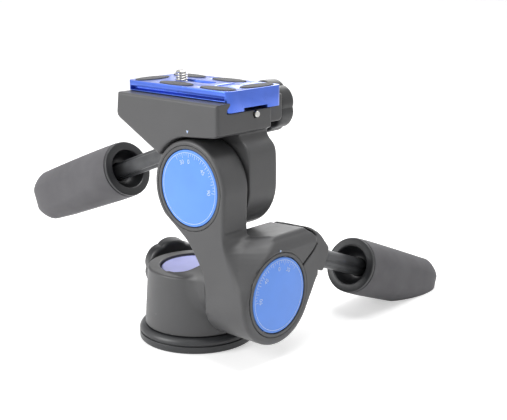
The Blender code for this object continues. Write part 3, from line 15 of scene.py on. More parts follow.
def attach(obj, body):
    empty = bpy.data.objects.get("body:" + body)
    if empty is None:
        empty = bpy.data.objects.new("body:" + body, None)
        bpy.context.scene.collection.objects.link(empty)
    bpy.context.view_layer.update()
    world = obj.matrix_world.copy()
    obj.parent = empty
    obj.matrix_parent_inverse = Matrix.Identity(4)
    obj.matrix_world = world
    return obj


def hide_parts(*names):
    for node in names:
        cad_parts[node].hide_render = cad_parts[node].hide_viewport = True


bl_info = {
    "name": "Pan Tilt Head Looks",
    "version": (1, 0, 0),
    "blender": (4, 5, 0),
    "location": "View3D > Sidebar > Pan Head",
    "description": "Builds the visible pieces of a three way pan tilt head",
    "category": "Object",
}

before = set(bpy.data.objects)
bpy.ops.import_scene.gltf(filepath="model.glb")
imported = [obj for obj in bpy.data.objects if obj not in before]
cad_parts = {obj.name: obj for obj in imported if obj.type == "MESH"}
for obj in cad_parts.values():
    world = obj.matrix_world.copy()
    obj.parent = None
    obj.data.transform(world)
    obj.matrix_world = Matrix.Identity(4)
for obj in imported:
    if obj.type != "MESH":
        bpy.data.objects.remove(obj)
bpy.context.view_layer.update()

MM = 0.001
FIT = 0.3
SLIT = 1.1
OVERRUN = 3.0
ROUND_STEPS = 128
SMALL_ROUND_STEPS = 48
SHARP_ANGLE = math.radians(34)

# Base and turret
BASE_RADIUS = 30.0
BASE_HEIGHT = 7.5
BASE_FOOT_HEIGHT = 3.6
BASE_SHOULDER = 3.0
JOURNAL_RADIUS = 17.0
JOURNAL_TOP = 29.6
SOCKET_RADIUS = 4.75
INSERT_RADIUS = 7.0
INSERT_HEIGHT = 12.6
INSERT_RECESS = 0.4
SOCKET_PITCH = 25.4 / 16
SPINDLE_RADIUS = 5.0
TURRET_FOOT_RADIUS = 27.0
TURRET_TOP_RADIUS = 25.0
TURRET_TOP = 37.8
WEB_LOW = 31.2
WEB_TOP = 33.0
DIAL_RECESS_RADIUS = 18.9
PAN_DIAL_RADIUS = 18.2
PAN_DIAL_LOW = 35.0
PAN_DIAL_HEIGHT = 1.8
TILT_HEIGHT = 33.63
BOSS_RADIUS = 19.5
BOSS_START = -0.7
SPLIT_X = 27.5
SPIGOT_RADIUS = 11.0
SPIGOT_DEPTH = 3.2
BOLT_BORE_START = 21.0
# The boss's top slopes up to the back, and grows from the rim by RIM_RAMP times distance squared
BOSS_TOP_RISE = 1.6
BOSS_TOP_SLOPE = 1.24
RIM_RAMP = 0.02
# The relief in the boss beside the arm, which fades out RELIEF_TOP above the tilt axis
RELIEF_WIDTH = 2.4
RELIEF_DEPTH = 3.6
RELIEF_TOP = 10.0
RELIEF_RUN = 14.0

# Pan knob
PAN_KNOB_ANGLE = math.radians(158)
PAN_KNOB_HEIGHT = 27.2
PAN_KNOB_RADIUS = 15.2
PAN_KNOB_THICKNESS = 9.0
KNOB_BOSS_RADIUS = 7.5
KNOB_BOSS_REACH = 28.0
KNOB_SCREW_RADIUS = 3.0
KNOB_HUB_RADIUS = 6.5
KNOB_HUB_LENGTH = 2.0
KNOB_BORE_SHARE = 0.6
KNOB_LOBES = 6
KNOB_LOBE_DEPTH = 0.075
KNOB_EDGE = 1.9
KNOB_SCREW_START = 22.0
KNOB_SCREW_PITCH = 1.0
SCREW_CHAMFER = 0.4
SCREW_THREAD_DEPTH = 0.3
BRAKE_RADIUS = 3.5
BRAKE_SEAT_END = 21.7

# Shafts and dials
CLAMP_BORE_RADIUS = 16.5
DIAL_RADIUS = 18.7
DIAL_HEIGHT = 2.9
DIAL_FACE_THICKNESS = 1.3
DIAL_SKIRT = 1.4
DIAL_INSET = 0.4
SCALE_RADIUS = 17.2
SCALE_LINE = 0.25
SCALE_LOW = 0.01
SCALE_TOP = 0.06
TICK_END = 17.0
TICK_HALF = 0.11
TICK_LONG = 2.0
TICK_SHORT = 1.1
NUMBER_SIZE = 3.0
NUMBER_RADIUS = 13.0
BEZEL_PROUD = 0.3
RECESS_RADIUS = 20.9
RETAINER_THICKNESS = 1.5
BOLT_RADIUS = 3.0

# Arm casting
ARM_FRONT = -22.5
ARM_BACK = -5.2
HUB_RADIUS = 23.2
ROLL_X = 17.75
ROLL_HEIGHT = 84.06
BARREL_RADIUS = 25.0
BARREL_END_X = 56.2
BARREL_EDGE = 2.6
HOUSING_TOP = 26.4
EAR_REACH = 46.0
EAR_HALF = 6.4
TILT_ROD_X = 41.5
TOP_SLOPE = 0.085
FACE_SLOPE = 0.15
FACE_INSET = 1.8
# The housing's front takes its upper form over this stretch of height
FRONT_BLEND_START = 28.0
FRONT_BLEND_RUN = 14.0
CROWN_START = 0.52
CROWN_FALL = 1.9
CROWN_ROUND = 4.0
SHOULDER_ROUND = 4.0
LEAN_RUN = (4.0, 7.0)
LEAN_LOW = 55.5
SHOULDER_BULGE = 0.55
# Height, edge of the front face (x, y) and the shoulder's y on the dial's side
SHOULDER_ROWS = ((20.0, 56.4, -21.6, -17.0), (24.8, 55.0, -23.4, -19.6),
                 (33.3, 52.6, -25.0, -21.5), (40.6, 48.6, -24.0, -19.9),
                 (47.7, 44.9, -22.6, -15.6), (50.0, 44.0, -22.3, -13.2),
                 (52.0, 43.3, -21.6, -10.9), (54.0, 42.7, -20.4, -8.3),
                 (56.0, 42.2, -18.6, -5.4), (58.0, 41.6, -15.6, -2.3),
                 (60.0, 41.0, -11.0, 1.0), (62.0, 40.7, -7.0, 3.5))

# Handles
ROD_SLOPE = math.radians(21.2)
ROD_OFFSET = 22.14
ROD_RADIUS = 4.9
ROD_FLUTES = 3
ROD_FLUTE_DEPTH = 1.0
STUD_RADIUS = 3.0
STUD_START = 1.0
STUD_PITCH = 1.0
STUD_SEAT = 28.3
ROD_SHOULDER = 29.9
GRIP_START = 72.8
GRIP_LENGTH = 81.4
GRIP_RADIUS = 15.3
GRIP_BULGE = 0.045
GRIP_WALL_START = 2.1
GRIP_FLAT_DEPTH = 0.095
GRIP_DOME_START = 0.78
GRIP_DOME_SHARE = 0.22
GRIP_TRAVEL = 26.0
FUNNEL_FLANGE = 1.8
FUNNEL_BODY_RADIUS = 11.8
FUNNEL_BODY_LENGTH = 12.0
FUNNEL_LENGTH = 20.0
FUNNEL_NECK_RADIUS = 7.4
FUNNEL_MOUTH_RADIUS = 10.6
FUNNEL_BOWL_DEPTH = 8.5
ROD_STOP_RADIUS = 5.9
ROD_STOP_LENGTH = 2.5

# Platform, jaw and clamp knob
HUB_FRONT = -4.6
HUB_BACK = 15.5
HUB_SIDE = 23.3
SHAFT_END_Y = 12.0
ROLL_ROD_Y = 5.45
ROLL_ROD_INSET = 0.9
ROLL_EAR_REACH = 38.0
BLOCK_LEFT = -33.0
BLOCK_RIGHT = 37.2
BLOCK_BOTTOM = 110.5
BLOCK_CORNER = 3.0
JAW_TOP = 126.0
SEAT_HEIGHT = 120.9
END_CAP_RADIUS = 19.1
JAW_LEFT = -28.0
JAW_RIGHT = 33.0
JAW_FRONT = 15.9
JAW_BACK = 28.6
JAW_BOTTOM = 112.4
JAW_CORNER = 2.5
CLAMP_X = 17.0
CLAMP_HEIGHT = 117.2
CLAMP_SCREW_RADIUS = 2.1
CLAMP_SCREW_START = -2.0
CLAMP_SCREW_PITCH = 0.8
CLAMP_KNOB_RADIUS = 13.3
CLAMP_KNOB_THICKNESS = 11.0
CLAMP_KNOB_START = 31.0
GUIDE_RADIUS = 2.0
GUIDE_START = 7.5
GUIDE_X = (-14.0, 28.6)
GUIDE_END = 26.5
SPRING_POCKET_RADIUS = 3.55
SPRING_POCKET_DEPTH = 3.2
STOP_PIN_RADIUS = 1.6
STOP_PIN_Y = 4.0
STOP_PIN_HEIGHT = 118.9
STOP_PIN_START = 29.0
STOP_PIN_END = 38.6

# Dovetail plate
PLATE_X = 2.7
PLATE_Y = 3.6
PLATE_LENGTH = 70.0
PLATE_WIDTH = 38.0
PLATE_BOTTOM = 121.2
PLATE_TOP = 131.2
PLATE_CORNER = 3.4
FLANK_START = 1.3
FLANK_RUN = 3.0
PLATE_END_WALL = 1.6
PLATE_GROOVE_END = 2.6
CHANNEL_WIDTH = 16.5
CHANNEL_DEPTH = 3.6
CHANNEL_START = -24.0
CHANNEL_STEP = 20.0
CHANNEL_END_DEPTH = 1.5
SLOT_WIDTH = 6.9
SLOT_START = -12.5
SLOT_END = 7.0
CROSS_X = 18.4
CROSS_WIDTH = 2.4
CROSS_LENGTH = 12.0
CROSS_DEPTH = 1.2
PAD_POCKET_DEPTH = 0.8
PAD_PROUD = 0.4
PAD_LONG = 21.5
PAD_WIDE = 9.2
STOP_SCREW_RADIUS = 2.0
STOP_SCREW_LENGTH = 3.0
STOP_SCREW_X = 30.0
STOP_SCREW_Y = 14.0
CAMERA_SCREW_RADIUS = 3.15
CAMERA_SCREW_PITCH = 25.4 / 20
CAMERA_SCREW_TOP = 135.9
CAMERA_HEAD_RADIUS = 7.0
CAMERA_HEAD_LOW = 121.3
CAMERA_HEAD_TOP = 123.3

# Camera of the photograph
CAMERA_PLACE = (351.27, -347.80, 194.24)
CAMERA_TURN = (75.457, 0.0, 41.895)
CAMERA_LENS = 71.285
CAMERA_SENSOR = 36.0

# Stage: how far the floor lies below the base, and each light's place, size and power
FLOOR_DROP = 0.05
LIGHTS = (("key_softbox", (-330, -640, 430), 420, 4.2),
          ("top_softbox", (40, 160, 800), 520, 4.4),
          ("back_rim", (-300, 640, 420), 420, 1.6))
LIGHT_AIM = (10, 0, 70)

# How often a wave texture of scale 1 repeats in a metre, near enough (it is 3.18)
WAVE_REPEATS = 3.3


def linear(text):
    """Turn an sRGB hex colour into linear channels."""
    channels = [int(text[place:place + 2], 16) / 255 for place in (1, 3, 5)]
    return tuple(value / 12.92 if value <= 0.04045 else ((value + 0.055) / 1.055) ** 2.4
                 for value in channels)


def frame_matrix(origin, x_axis, y_axis):
    """Return the matrix of a local frame from its origin and two axes, in millimetres."""
    x_axis = Vector(x_axis).normalized()
    y_axis = Vector(y_axis).normalized()
    turned = Matrix((x_axis, y_axis, x_axis.cross(y_axis))).transposed().to_4x4()
    return Matrix.Translation(Vector(origin)) @ turned


UPRIGHT = Matrix.Identity(4)
TILT_FRAME = frame_matrix((0, 0, TILT_HEIGHT), (0, 1, 0), (0, 0, 1))
ROLL_FRAME = frame_matrix((ROLL_X, 0, ROLL_HEIGHT), (-1, 0, 0), (0, 0, 1))
FRONT_FRAME = frame_matrix((0, 0, 0), (1, 0, 0), (0, 0, 1))
SIDE_FRAME = frame_matrix((0, 0, 0), (0, 1, 0), (0, 0, 1))
PAN_KNOB_AXIS = (math.cos(PAN_KNOB_ANGLE), math.sin(PAN_KNOB_ANGLE), 0)
PAN_KNOB_FRAME = frame_matrix((0, 0, PAN_KNOB_HEIGHT), (0, 0, 1),
                              Vector(PAN_KNOB_AXIS).cross(Vector((0, 0, 1))))
CLAMP_FRAME = frame_matrix((CLAMP_X, 0, CLAMP_HEIGHT), (0, 0, 1), (1, 0, 0))
STOP_PIN_FRAME = frame_matrix((0, STOP_PIN_Y, STOP_PIN_HEIGHT), (0, 1, 0), (0, 0, 1))


def rod_frame(clamp_frame, across, inset=0):
    """Return the frame of a handle rod: Z runs outward along the rod."""
    foot = Vector((math.sin(ROD_SLOPE), math.cos(ROD_SLOPE), 0)) * ROD_OFFSET
    along = Vector((math.cos(ROD_SLOPE), -math.sin(ROD_SLOPE), 0))
    side = Vector((0, 0, 1))
    local = Matrix((side, along.cross(side), along)).transposed().to_4x4()
    return clamp_frame @ Matrix.Translation(foot + side * across - along * inset) @ local


TILT_ROD = rod_frame(TILT_FRAME, TILT_ROD_X)
ROLL_ROD = rod_frame(ROLL_FRAME, ROLL_ROD_Y, ROLL_ROD_INSET)


# Materials

def add_node(tree, kind, values=None, links=None, **settings):
    """Add one node, set its properties and sockets, and link outputs to its sockets."""
    made = tree.nodes.new(kind)
    for name, value in settings.items():
        setattr(made, name, value)
    for name, value in (values or {}).items():
        made.inputs[name].default_value = value
    for name, output in (links or {}).items():
        tree.links.new(output, made.inputs[name])
    return made


def new_material(name, **sockets):
    """Return a material, its tree, its shader with these sockets set, and its object coordinates."""
    made = bpy.data.materials.new(name)
    made.use_nodes = True
    tree = made.node_tree
    shader = tree.nodes["Principled BSDF"]
    for socket, value in sockets.items():
        shader.inputs[socket.replace("_", " ")].default_value = value
    place = add_node(tree, "ShaderNodeTexCoord").outputs["Object"]
    return made, tree, shader, place


def grain(tree, place, size_mm, detail=2.0, roughness=0.5):
    """Return the output of a noise whose grains are about size_mm across."""
    return add_node(tree, "ShaderNodeTexNoise",
                    {"Scale": 1 / (size_mm * MM), "Detail": detail, "Roughness": roughness},
                    {"Vector": place}).outputs["Fac"]


def emboss(tree, shader, height, depth_mm, strength=1.0):
    """Feed a height into the shader's normal as a bump depth_mm deep."""
    bump = add_node(tree, "ShaderNodeBump", {"Strength": strength, "Distance": depth_mm * MM},
                    {"Height": height})
    tree.links.new(bump.outputs["Normal"], shader.inputs["Normal"])


def vary_colour(tree, shader, factor, low, high, span=(0.35, 0.65)):
    """Colour the shader between two colours by a factor."""
    ramp = add_node(tree, "ShaderNodeValToRGB", None, {"Fac": factor})
    ramp.color_ramp.elements[0].position, ramp.color_ramp.elements[1].position = span
    ramp.color_ramp.elements[0].color = (*low, 1)
    ramp.color_ramp.elements[1].color = (*high, 1)
    tree.links.new(ramp.outputs["Color"], shader.inputs["Base Color"])
    return ramp


def vary_roughness(tree, shader, factor, low, high):
    """Let the roughness wander between two values."""
    span = add_node(tree, "ShaderNodeMapRange", {"To Min": low, "To Max": high}, {"Value": factor})
    tree.links.new(span.outputs["Result"], shader.inputs["Roughness"])


def shade_of(colour, share):
    """Return a colour made darker or lighter."""
    return tuple(min(1, channel * share) for channel in colour)


def powder_coated_aluminium(finishes):
    """Die-cast aluminium with a satin black powder coat.

    The powder melts into a fine orange peel that breaks up its soft highlight,
    and a painted highlight mixes the castings' sharp corners towards a pale grey.
    """
    made, tree, shader, place = new_material("powder_coated_aluminium", Roughness=0.42,
                                             Specular_IOR_Level=0.5, IOR=1.5)
    colour = tuple(finishes.casting_colour)
    cloud = grain(tree, place, 24, 3)
    # Painted highlight: sharp convex edges, found by their pointiness, are mixed towards a pale grey
    painted_edge_highlight = add_node(tree, "ShaderNodeMapRange",
                    {"From Min": 0.56, "From Max": 0.66, "To Min": 0.0, "To Max": 0.45},
                    {"Value": add_node(tree, "ShaderNodeNewGeometry").outputs["Pointiness"]})
    body = add_node(tree, "ShaderNodeMix", None, {0: cloud}, data_type="RGBA")
    body.inputs[6].default_value = (*shade_of(colour, 0.9), 1)
    body.inputs[7].default_value = (*shade_of(colour, 1.1), 1)
    edge = add_node(tree, "ShaderNodeMix", None,
                    {0: painted_edge_highlight.outputs["Result"], 6: body.outputs[2]}, data_type="RGBA")
    # The pale grey of the painted edge highlight
    edge.inputs[7].default_value = (*linear("#868685"), 1)
    tree.links.new(edge.outputs[2], shader.inputs["Base Color"])
    vary_roughness(tree, shader, grain(tree, place, 5), 0.37, 0.5)
    # A real orange peel is about 0.5 mm across, drawn at 0.7 mm so that it shows
    emboss(tree, shader, grain(tree, place, finishes.coat_grain / MM, 2), 0.022, 0.55)
    return made


def hard_anodised_base(finishes):
    """Turned aluminium, hard anodised black: darker than the castings, with fine tool rings."""
    made, tree, shader, place = new_material("hard_anodised_aluminium", Roughness=0.4,
                                             Specular_IOR_Level=0.55)
    vary_colour(tree, shader, grain(tree, place, 14), linear("#2F3032"), linear("#38393B"))
    vary_roughness(tree, shader, grain(tree, place, 4), 0.34, 0.46)
    # Tool rings 0.5 mm apart run up the turned side
    rings = add_node(tree, "ShaderNodeTexWave", {"Scale": 1 / (0.5 * MM) / WAVE_REPEATS,
                                                 "Distortion": 0.4},
                     {"Vector": place}, bands_direction="Z")
    emboss(tree, shader, rings.outputs["Fac"], 0.008, 0.4)
    return made


def black_anodised_rod(finishes):
    """Extruded aluminium tube, black anodised: satin, with faint draw lines along it."""
    made, tree, shader, place = new_material("black_anodised_aluminium", Roughness=0.34,
                                             Metallic=0.35)
    vary_colour(tree, shader, grain(tree, place, 9), shade_of(linear("#505153"), 0.85),
                linear("#58595B"))
    vary_roughness(tree, shader, grain(tree, place, 2), 0.28, 0.42)
    emboss(tree, shader, grain(tree, place, 0.8, 1), 0.01, 0.4)
    return made


def blue_anodised_aluminium(finishes):
    """Machined aluminium, blasted and anodised blue: a satin coloured metal."""
    made, tree, shader, place = new_material("blue_anodised_aluminium", Roughness=0.3,
                                             Metallic=0.85, Coat_Weight=0.5, Coat_Roughness=0.22)
    colour = tuple(finishes.plate_colour)
    vary_colour(tree, shader, grain(tree, place, 12), shade_of(colour, 0.9), colour)
    vary_roughness(tree, shader, grain(tree, place, 3), 0.24, 0.36)
    # Cutter lines 0.35 mm apart run along the plate
    stretched = add_node(tree, "ShaderNodeMapping", {"Scale": (0.02, 1, 1)}, {"Vector": place})
    emboss(tree, shader, grain(tree, stretched.outputs["Vector"], 0.35, 1), 0.006, 0.5)
    return made


def blue_dial_print(finishes):
    """Anodised aluminium disc under a clear print lacquer: bright, even and satin."""
    made, tree, shader, place = new_material("lacquered_blue_dial", Roughness=0.38, Metallic=0.1,
                                             Coat_Weight=0.25, Coat_Roughness=0.25)
    colour = tuple(finishes.dial_colour)
    vary_colour(tree, shader, grain(tree, place, 15), shade_of(colour, 0.94), colour)
    vary_roughness(tree, shader, grain(tree, place, 4), 0.34, 0.42)
    emboss(tree, shader, grain(tree, place, 0.4, 1), 0.004, 0.4)
    return made


def frosted_blue_dial(finishes):
    """Aluminium disc, bead blasted and anodised light blue: milky, with a broad soft sheen."""
    made, tree, shader, place = new_material("frosted_blue_dial", Roughness=0.5, Metallic=0.2,
                                             Coat_Weight=0.3, Coat_Roughness=0.3)
    vary_colour(tree, shader, grain(tree, place, 12), linear("#A9AEEA"), linear("#B4B8F4"))
    vary_roughness(tree, shader, grain(tree, place, 3), 0.45, 0.56)
    emboss(tree, shader, grain(tree, place, 0.4, 1), 0.006, 0.4)
    return made


def moulded_rubber(finishes):
    """Thermoplastic rubber, moulded against a spark-eroded tool: matt, with a fine grain."""
    made, tree, shader, place = new_material("moulded_rubber", Roughness=0.62,
                                             Specular_IOR_Level=0.45)
    colour = tuple(finishes.grip_colour)
    vary_colour(tree, shader, grain(tree, place, 18, 3), shade_of(colour, 0.88),
                shade_of(colour, 1.08))
    vary_roughness(tree, shader, grain(tree, place, 6), 0.56, 0.7)
    # The tool's grain is 0.2 mm, drawn at 0.5 mm so that it shows
    emboss(tree, shader, grain(tree, place, finishes.rubber_grain / MM, 3), 0.03, 0.5)
    return made


def pad_rubber(finishes):
    """Cut rubber sheet with a fine ribbed face that grips the camera."""
    made, tree, shader, place = new_material("ribbed_rubber_sheet", Roughness=0.75,
                                             Specular_IOR_Level=0.35)
    vary_colour(tree, shader, grain(tree, place, 5), linear("#515154"), linear("#5C5C5F"))
    # Ribs 0.9 mm apart run across the plate
    ribs = add_node(tree, "ShaderNodeTexWave", {"Scale": 1 / (0.9 * MM) / WAVE_REPEATS,
                                                "Distortion": 0.0},
                    {"Vector": place}, bands_direction="X")
    emboss(tree, shader, ribs.outputs["Fac"], 0.05, 0.5)
    return made


def moulded_abs(finishes):
    """Black ABS, moulded with a fine matt texture."""
    made, tree, shader, place = new_material("moulded_abs", Roughness=0.4,
                                             Specular_IOR_Level=0.5, IOR=1.53)
    colour = tuple(finishes.plastic_colour)
    vary_colour(tree, shader, grain(tree, place, 10), shade_of(colour, 0.9), shade_of(colour, 1.1))
    vary_roughness(tree, shader, grain(tree, place, 3), 0.34, 0.46)
    emboss(tree, shader, grain(tree, place, 0.5, 2), 0.012, 0.5)
    return made


def plated_steel(finishes):
    """Turned steel with bright nickel plating: clear reflections over fine turning marks."""
    made, tree, shader, place = new_material("nickel_plated_steel", Roughness=0.25, Metallic=1.0)
    vary_colour(tree, shader, grain(tree, place, 4), linear("#B9B8B4"), linear("#C9C8C5"))
    vary_roughness(tree, shader, grain(tree, place, 1), 0.18, 0.32)
    emboss(tree, shader, grain(tree, place, 0.25, 1), 0.004, 0.5)
    return made


def turned_brass(finishes):
    """Free-cutting brass, turned and threaded."""
    made, tree, shader, place = new_material("turned_brass", Roughness=0.28, Metallic=1.0)
    vary_colour(tree, shader, grain(tree, place, 4), linear("#B98F3E"), linear("#CBA552"))
    vary_roughness(tree, shader, grain(tree, place, 1.5), 0.2, 0.36)
    emboss(tree, shader, grain(tree, place, 0.3, 1), 0.005, 0.5)
    return made


def bearing_acetal(finishes):
    """White acetal bearing bush: dense, waxy and faintly translucent."""
    made, tree, shader, place = new_material("turned_acetal", Roughness=0.4,
                                             Subsurface_Weight=0.1, Subsurface_Scale=0.001)
    vary_colour(tree, shader, grain(tree, place, 6), linear("#E4E1D8"), linear("#EDEBE4"))
    vary_roughness(tree, shader, grain(tree, place, 2), 0.34, 0.48)
    emboss(tree, shader, grain(tree, place, 0.4, 1), 0.005, 0.5)
    return made


def white_ink(finishes):
    """Pad-printed white ink: a thin opaque film that lets a little blue through."""
    made, tree, shader, place = new_material("white_pad_print", Roughness=0.5)
    vary_colour(tree, shader, grain(tree, place, 0.6, 3), linear("#B4CFFF"), linear("#E2EEFF"))
    vary_roughness(tree, shader, grain(tree, place, 1), 0.45, 0.6)
    return made


MAKERS = {
    "cast": ("cast_black", powder_coated_aluminium),
    "base": ("cast_black", hard_anodised_base),
    "rod": ("rod_black", black_anodised_rod),
    "plate": ("blue_anodised", blue_anodised_aluminium),
    "dial": ("dial_blue", blue_dial_print),
    "frosted": ("dial_blue", frosted_blue_dial),
    "grip": ("rubber_black", moulded_rubber),
    "pad": ("rubber_black", pad_rubber),
    "plastic": ("plastic_black", moulded_abs),
    "steel": ("steel", plated_steel),
    "brass": ("brass", turned_brass),
    "acetal": ("bearing_plastic", bearing_acetal),
    "ink": ("dial_blue", white_ink),
    "mark": ("cast_black", white_ink),
}
_made = {}


def look(name):
    """Return one finish of the head, made once."""
    maker = MAKERS[name][1]
    if maker not in _made:
        _made[maker] = maker(bpy.context.scene.head_finishes)
    return _made[maker]


def settle(piece, body, look_name, *nodes):
    """Give a piece its finish, let it ride on its body and stand for these nodes."""
    piece.data.materials.clear()
    piece.data.materials.append(look(look_name))
    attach(piece, body)
    if nodes:
        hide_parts(*nodes)
    return piece


# Mesh tools

def mesh_object(name, points, faces, place=UPRIGHT, smooth=True):
    """Make an object of points in millimetres in a local frame."""
    mesh = bpy.data.meshes.new(name)
    placed = np.asarray(points, float) @ np.array(place.to_3x3()).T + np.array(place.translation)
    mesh.from_pydata((placed * MM).tolist(), [], faces)
    mesh.validate()
    made = bpy.data.objects.new(name, mesh)
    bpy.context.scene.collection.objects.link(made)
    if smooth:
        shade(made)
    return made


def shade(piece, angle=SHARP_ANGLE):
    """Face every side outward, shade it smooth and keep real edges sharp."""
    bm = bmesh.new()
    bm.from_mesh(piece.data)
    bmesh.ops.recalc_face_normals(bm, faces=bm.faces)
    bm.to_mesh(piece.data)
    bm.free()
    piece.data.shade_smooth()
    piece.data.set_sharp_from_angle(angle=angle)
    return piece


def lathe(name, rows, place=UPRIGHT, steps=ROUND_STEPS, pitch=0):
    """Turn a closed row of (radius, height[, thread depth]) about the local Z axis.

    A radius may be one number or a value for every step. Rows with a depth are
    cut to a thread of this pitch.
    """
    turns = np.arange(steps) * math.tau / steps
    points, rings = [], []
    for row in rows:
        radius, height = row[0], row[1]
        if np.isscalar(radius) and radius == 0:
            rings.append([len(points)])
            points.append((0, 0, height))
            continue
        reach = np.broadcast_to(np.asarray(radius, float), (steps,)).copy()
        if len(row) > 2:
            phase = (height / pitch - turns / math.tau) % 1
            reach -= row[2] * np.abs(2 * phase - 1)
        rings.append(list(range(len(points), len(points) + steps)))
        points += list(zip(reach * np.cos(turns), reach * np.sin(turns),
                           np.broadcast_to(height, (steps,))))
    faces = []
    for ring, after in zip(rings, rings[1:] + rings[:1]):
        if len(ring) == 1 and len(after) == 1:
            continue
        for step in range(steps):
            near = (step + 1) % steps
            if len(ring) == 1:
                faces.append((ring[0], after[near], after[step]))
            elif len(after) == 1:
                faces.append((ring[step], ring[near], after[0]))
            else:
                faces.append((ring[step], ring[near], after[near], after[step]))
    return mesh_object(name, points, faces, place)


def thread_rows(radius, low, high, pitch, depth):
    """Return the rows of a threaded stretch, eight to a turn."""
    count = max(2, int(abs(high - low) / pitch * 8))
    return [(radius, low + (high - low) * step / count, depth) for step in range(count + 1)]


def arc(centre, radius, start, end, steps=12):
    """Return points on an arc, from start to end in degrees."""
    turns = [math.radians(start + (end - start) * step / steps) for step in range(steps + 1)]
    return [(centre[0] + radius * math.cos(turn), centre[1] + radius * math.sin(turn))
            for turn in turns]


def eased(points, rounds=3):
    """Round the corners of an open line, keeping its ends."""
    line = [Vector(point) for point in points]
    for _ in range(rounds):
        cut = [line[0]]
        for before, after in zip(line, line[1:]):
            cut += [before.lerp(after, 0.25), before.lerp(after, 0.75)]
        line = cut[:1] + cut[2:-1] + [line[-1]]
    return [tuple(point) for point in line]


def prism(name, outline, low, high, place=UPRIGHT):
    """Extrude an outline along the local Z axis."""
    count = len(outline)
    points = [(a, b, low) for a, b in outline] + [(a, b, high) for a, b in outline]
    faces = [tuple(range(count)), tuple(range(count, 2 * count))]
    faces += [(index, (index + 1) % count, count + (index + 1) % count, count + index)
              for index in range(count)]
    return mesh_object(name, points, faces, place)


def modify(piece, kind, **settings):
    """Apply one modifier to a piece at once."""
    modifier = piece.modifiers.new(kind.title(), kind)
    for name, value in settings.items():
        setattr(modifier, name, value)
    graph = bpy.context.evaluated_depsgraph_get()
    mesh = bpy.data.meshes.new_from_object(piece.evaluated_get(graph))
    piece.modifiers.clear()
    piece.data = mesh
    return piece


def carve(piece, *tools):
    """Take tools away from a piece and remove them."""
    for tool in tools:
        modify(piece, "BOOLEAN", operation="DIFFERENCE", solver="EXACT", object=tool)
        bpy.data.objects.remove(tool, do_unlink=True)
    return piece


def break_edges(piece, width, segments=2):
    """Break a machined piece's edges with a small round and shade it."""
    bm = bmesh.new()
    bm.from_mesh(piece.data)
    bmesh.ops.remove_doubles(bm, verts=bm.verts, dist=0.002 * MM)
    bmesh.ops.dissolve_limit(bm, angle_limit=math.radians(0.2), verts=bm.verts, edges=bm.edges)
    bm.to_mesh(piece.data)
    bm.free()
    modify(piece, "BEVEL", width=width * MM, segments=segments, limit_method="ANGLE",
           angle_limit=math.radians(28), harden_normals=False)
    return shade(piece, math.radians(50))


def joined(name, pieces):
    """Join meshes into one object in the first one's place."""
    bm = bmesh.new()
    for piece in pieces:
        bm.from_mesh(piece.data)
        bpy.data.objects.remove(piece, do_unlink=True)
    mesh = bpy.data.meshes.new(name)
    bm.to_mesh(mesh)
    bm.free()
    made = bpy.data.objects.new(name, mesh)
    bpy.context.scene.collection.objects.link(made)
    return made


# Cast shapes: each is a distance to its surface, below zero inside

def seen_from(place, point):
    """Return points in a local frame, leaving out axes that don't matter there."""
    found = []
    for row in place.inverted()[:3]:
        total = row[3]
        for weight, values in zip(row[:3], point):
            if abs(weight) > 1e-6:
                total = total + weight * values
        found.append(total)
    return found


def union(first, second, fillet=0.0):
    """Join two shapes, with a fillet in the corner between them."""
    if not fillet:
        return np.minimum(first, second)
    return (np.maximum(np.minimum(first, second), fillet)
            - np.hypot(np.maximum(fillet - first, 0), np.maximum(fillet - second, 0)))


def common(first, second, edge=0.0):
    """Keep what two shapes share, with a round on the edge between them."""
    return -union(-first, -second, edge)


def without(first, second, edge=0.0):
    """Take the second shape out of the first, with a round on the edge."""
    return common(first, -second, edge)


def cylinder(point, place, radius, low, high, edge=0.0):
    """A round bar or bore along the local Z axis."""
    u, v, w = seen_from(place, point)
    return common(common(np.hypot(u, v) - radius, w - high, edge), low - w, edge)


def outline_distance(outline, a, b):
    """Return the distance of points to a closed outline, below zero inside."""
    nearest, inside = np.inf, False
    for (a0, b0), (a1, b1) in zip(outline, outline[1:] + outline[:1]):
        along_a, along_b = a1 - a0, b1 - b0
        from_a, from_b = a - a0, b - b0
        length = along_a ** 2 + along_b ** 2
        if length < 1e-9:
            continue
        share = np.clip((from_a * along_a + from_b * along_b) / length, 0, 1)
        nearest = np.minimum(nearest, (from_a - along_a * share) ** 2
                             + (from_b - along_b * share) ** 2)
        if b0 != b1:
            crossed = ((b0 > b) != (b1 > b)) & (from_a < along_a * from_b / along_b)
            inside = inside ^ crossed
    return np.where(inside, -1, 1) * np.sqrt(nearest)


def slab(point, place, outline, low, high, edge_low=0.0, edge_high=0.0):
    """An outline extruded along the local Z axis, with rounded end edges."""
    u, v, w = seen_from(place, point)
    flat = outline_distance(outline, u, v)
    return common(common(flat, w - high, edge_high), low - w, edge_low)


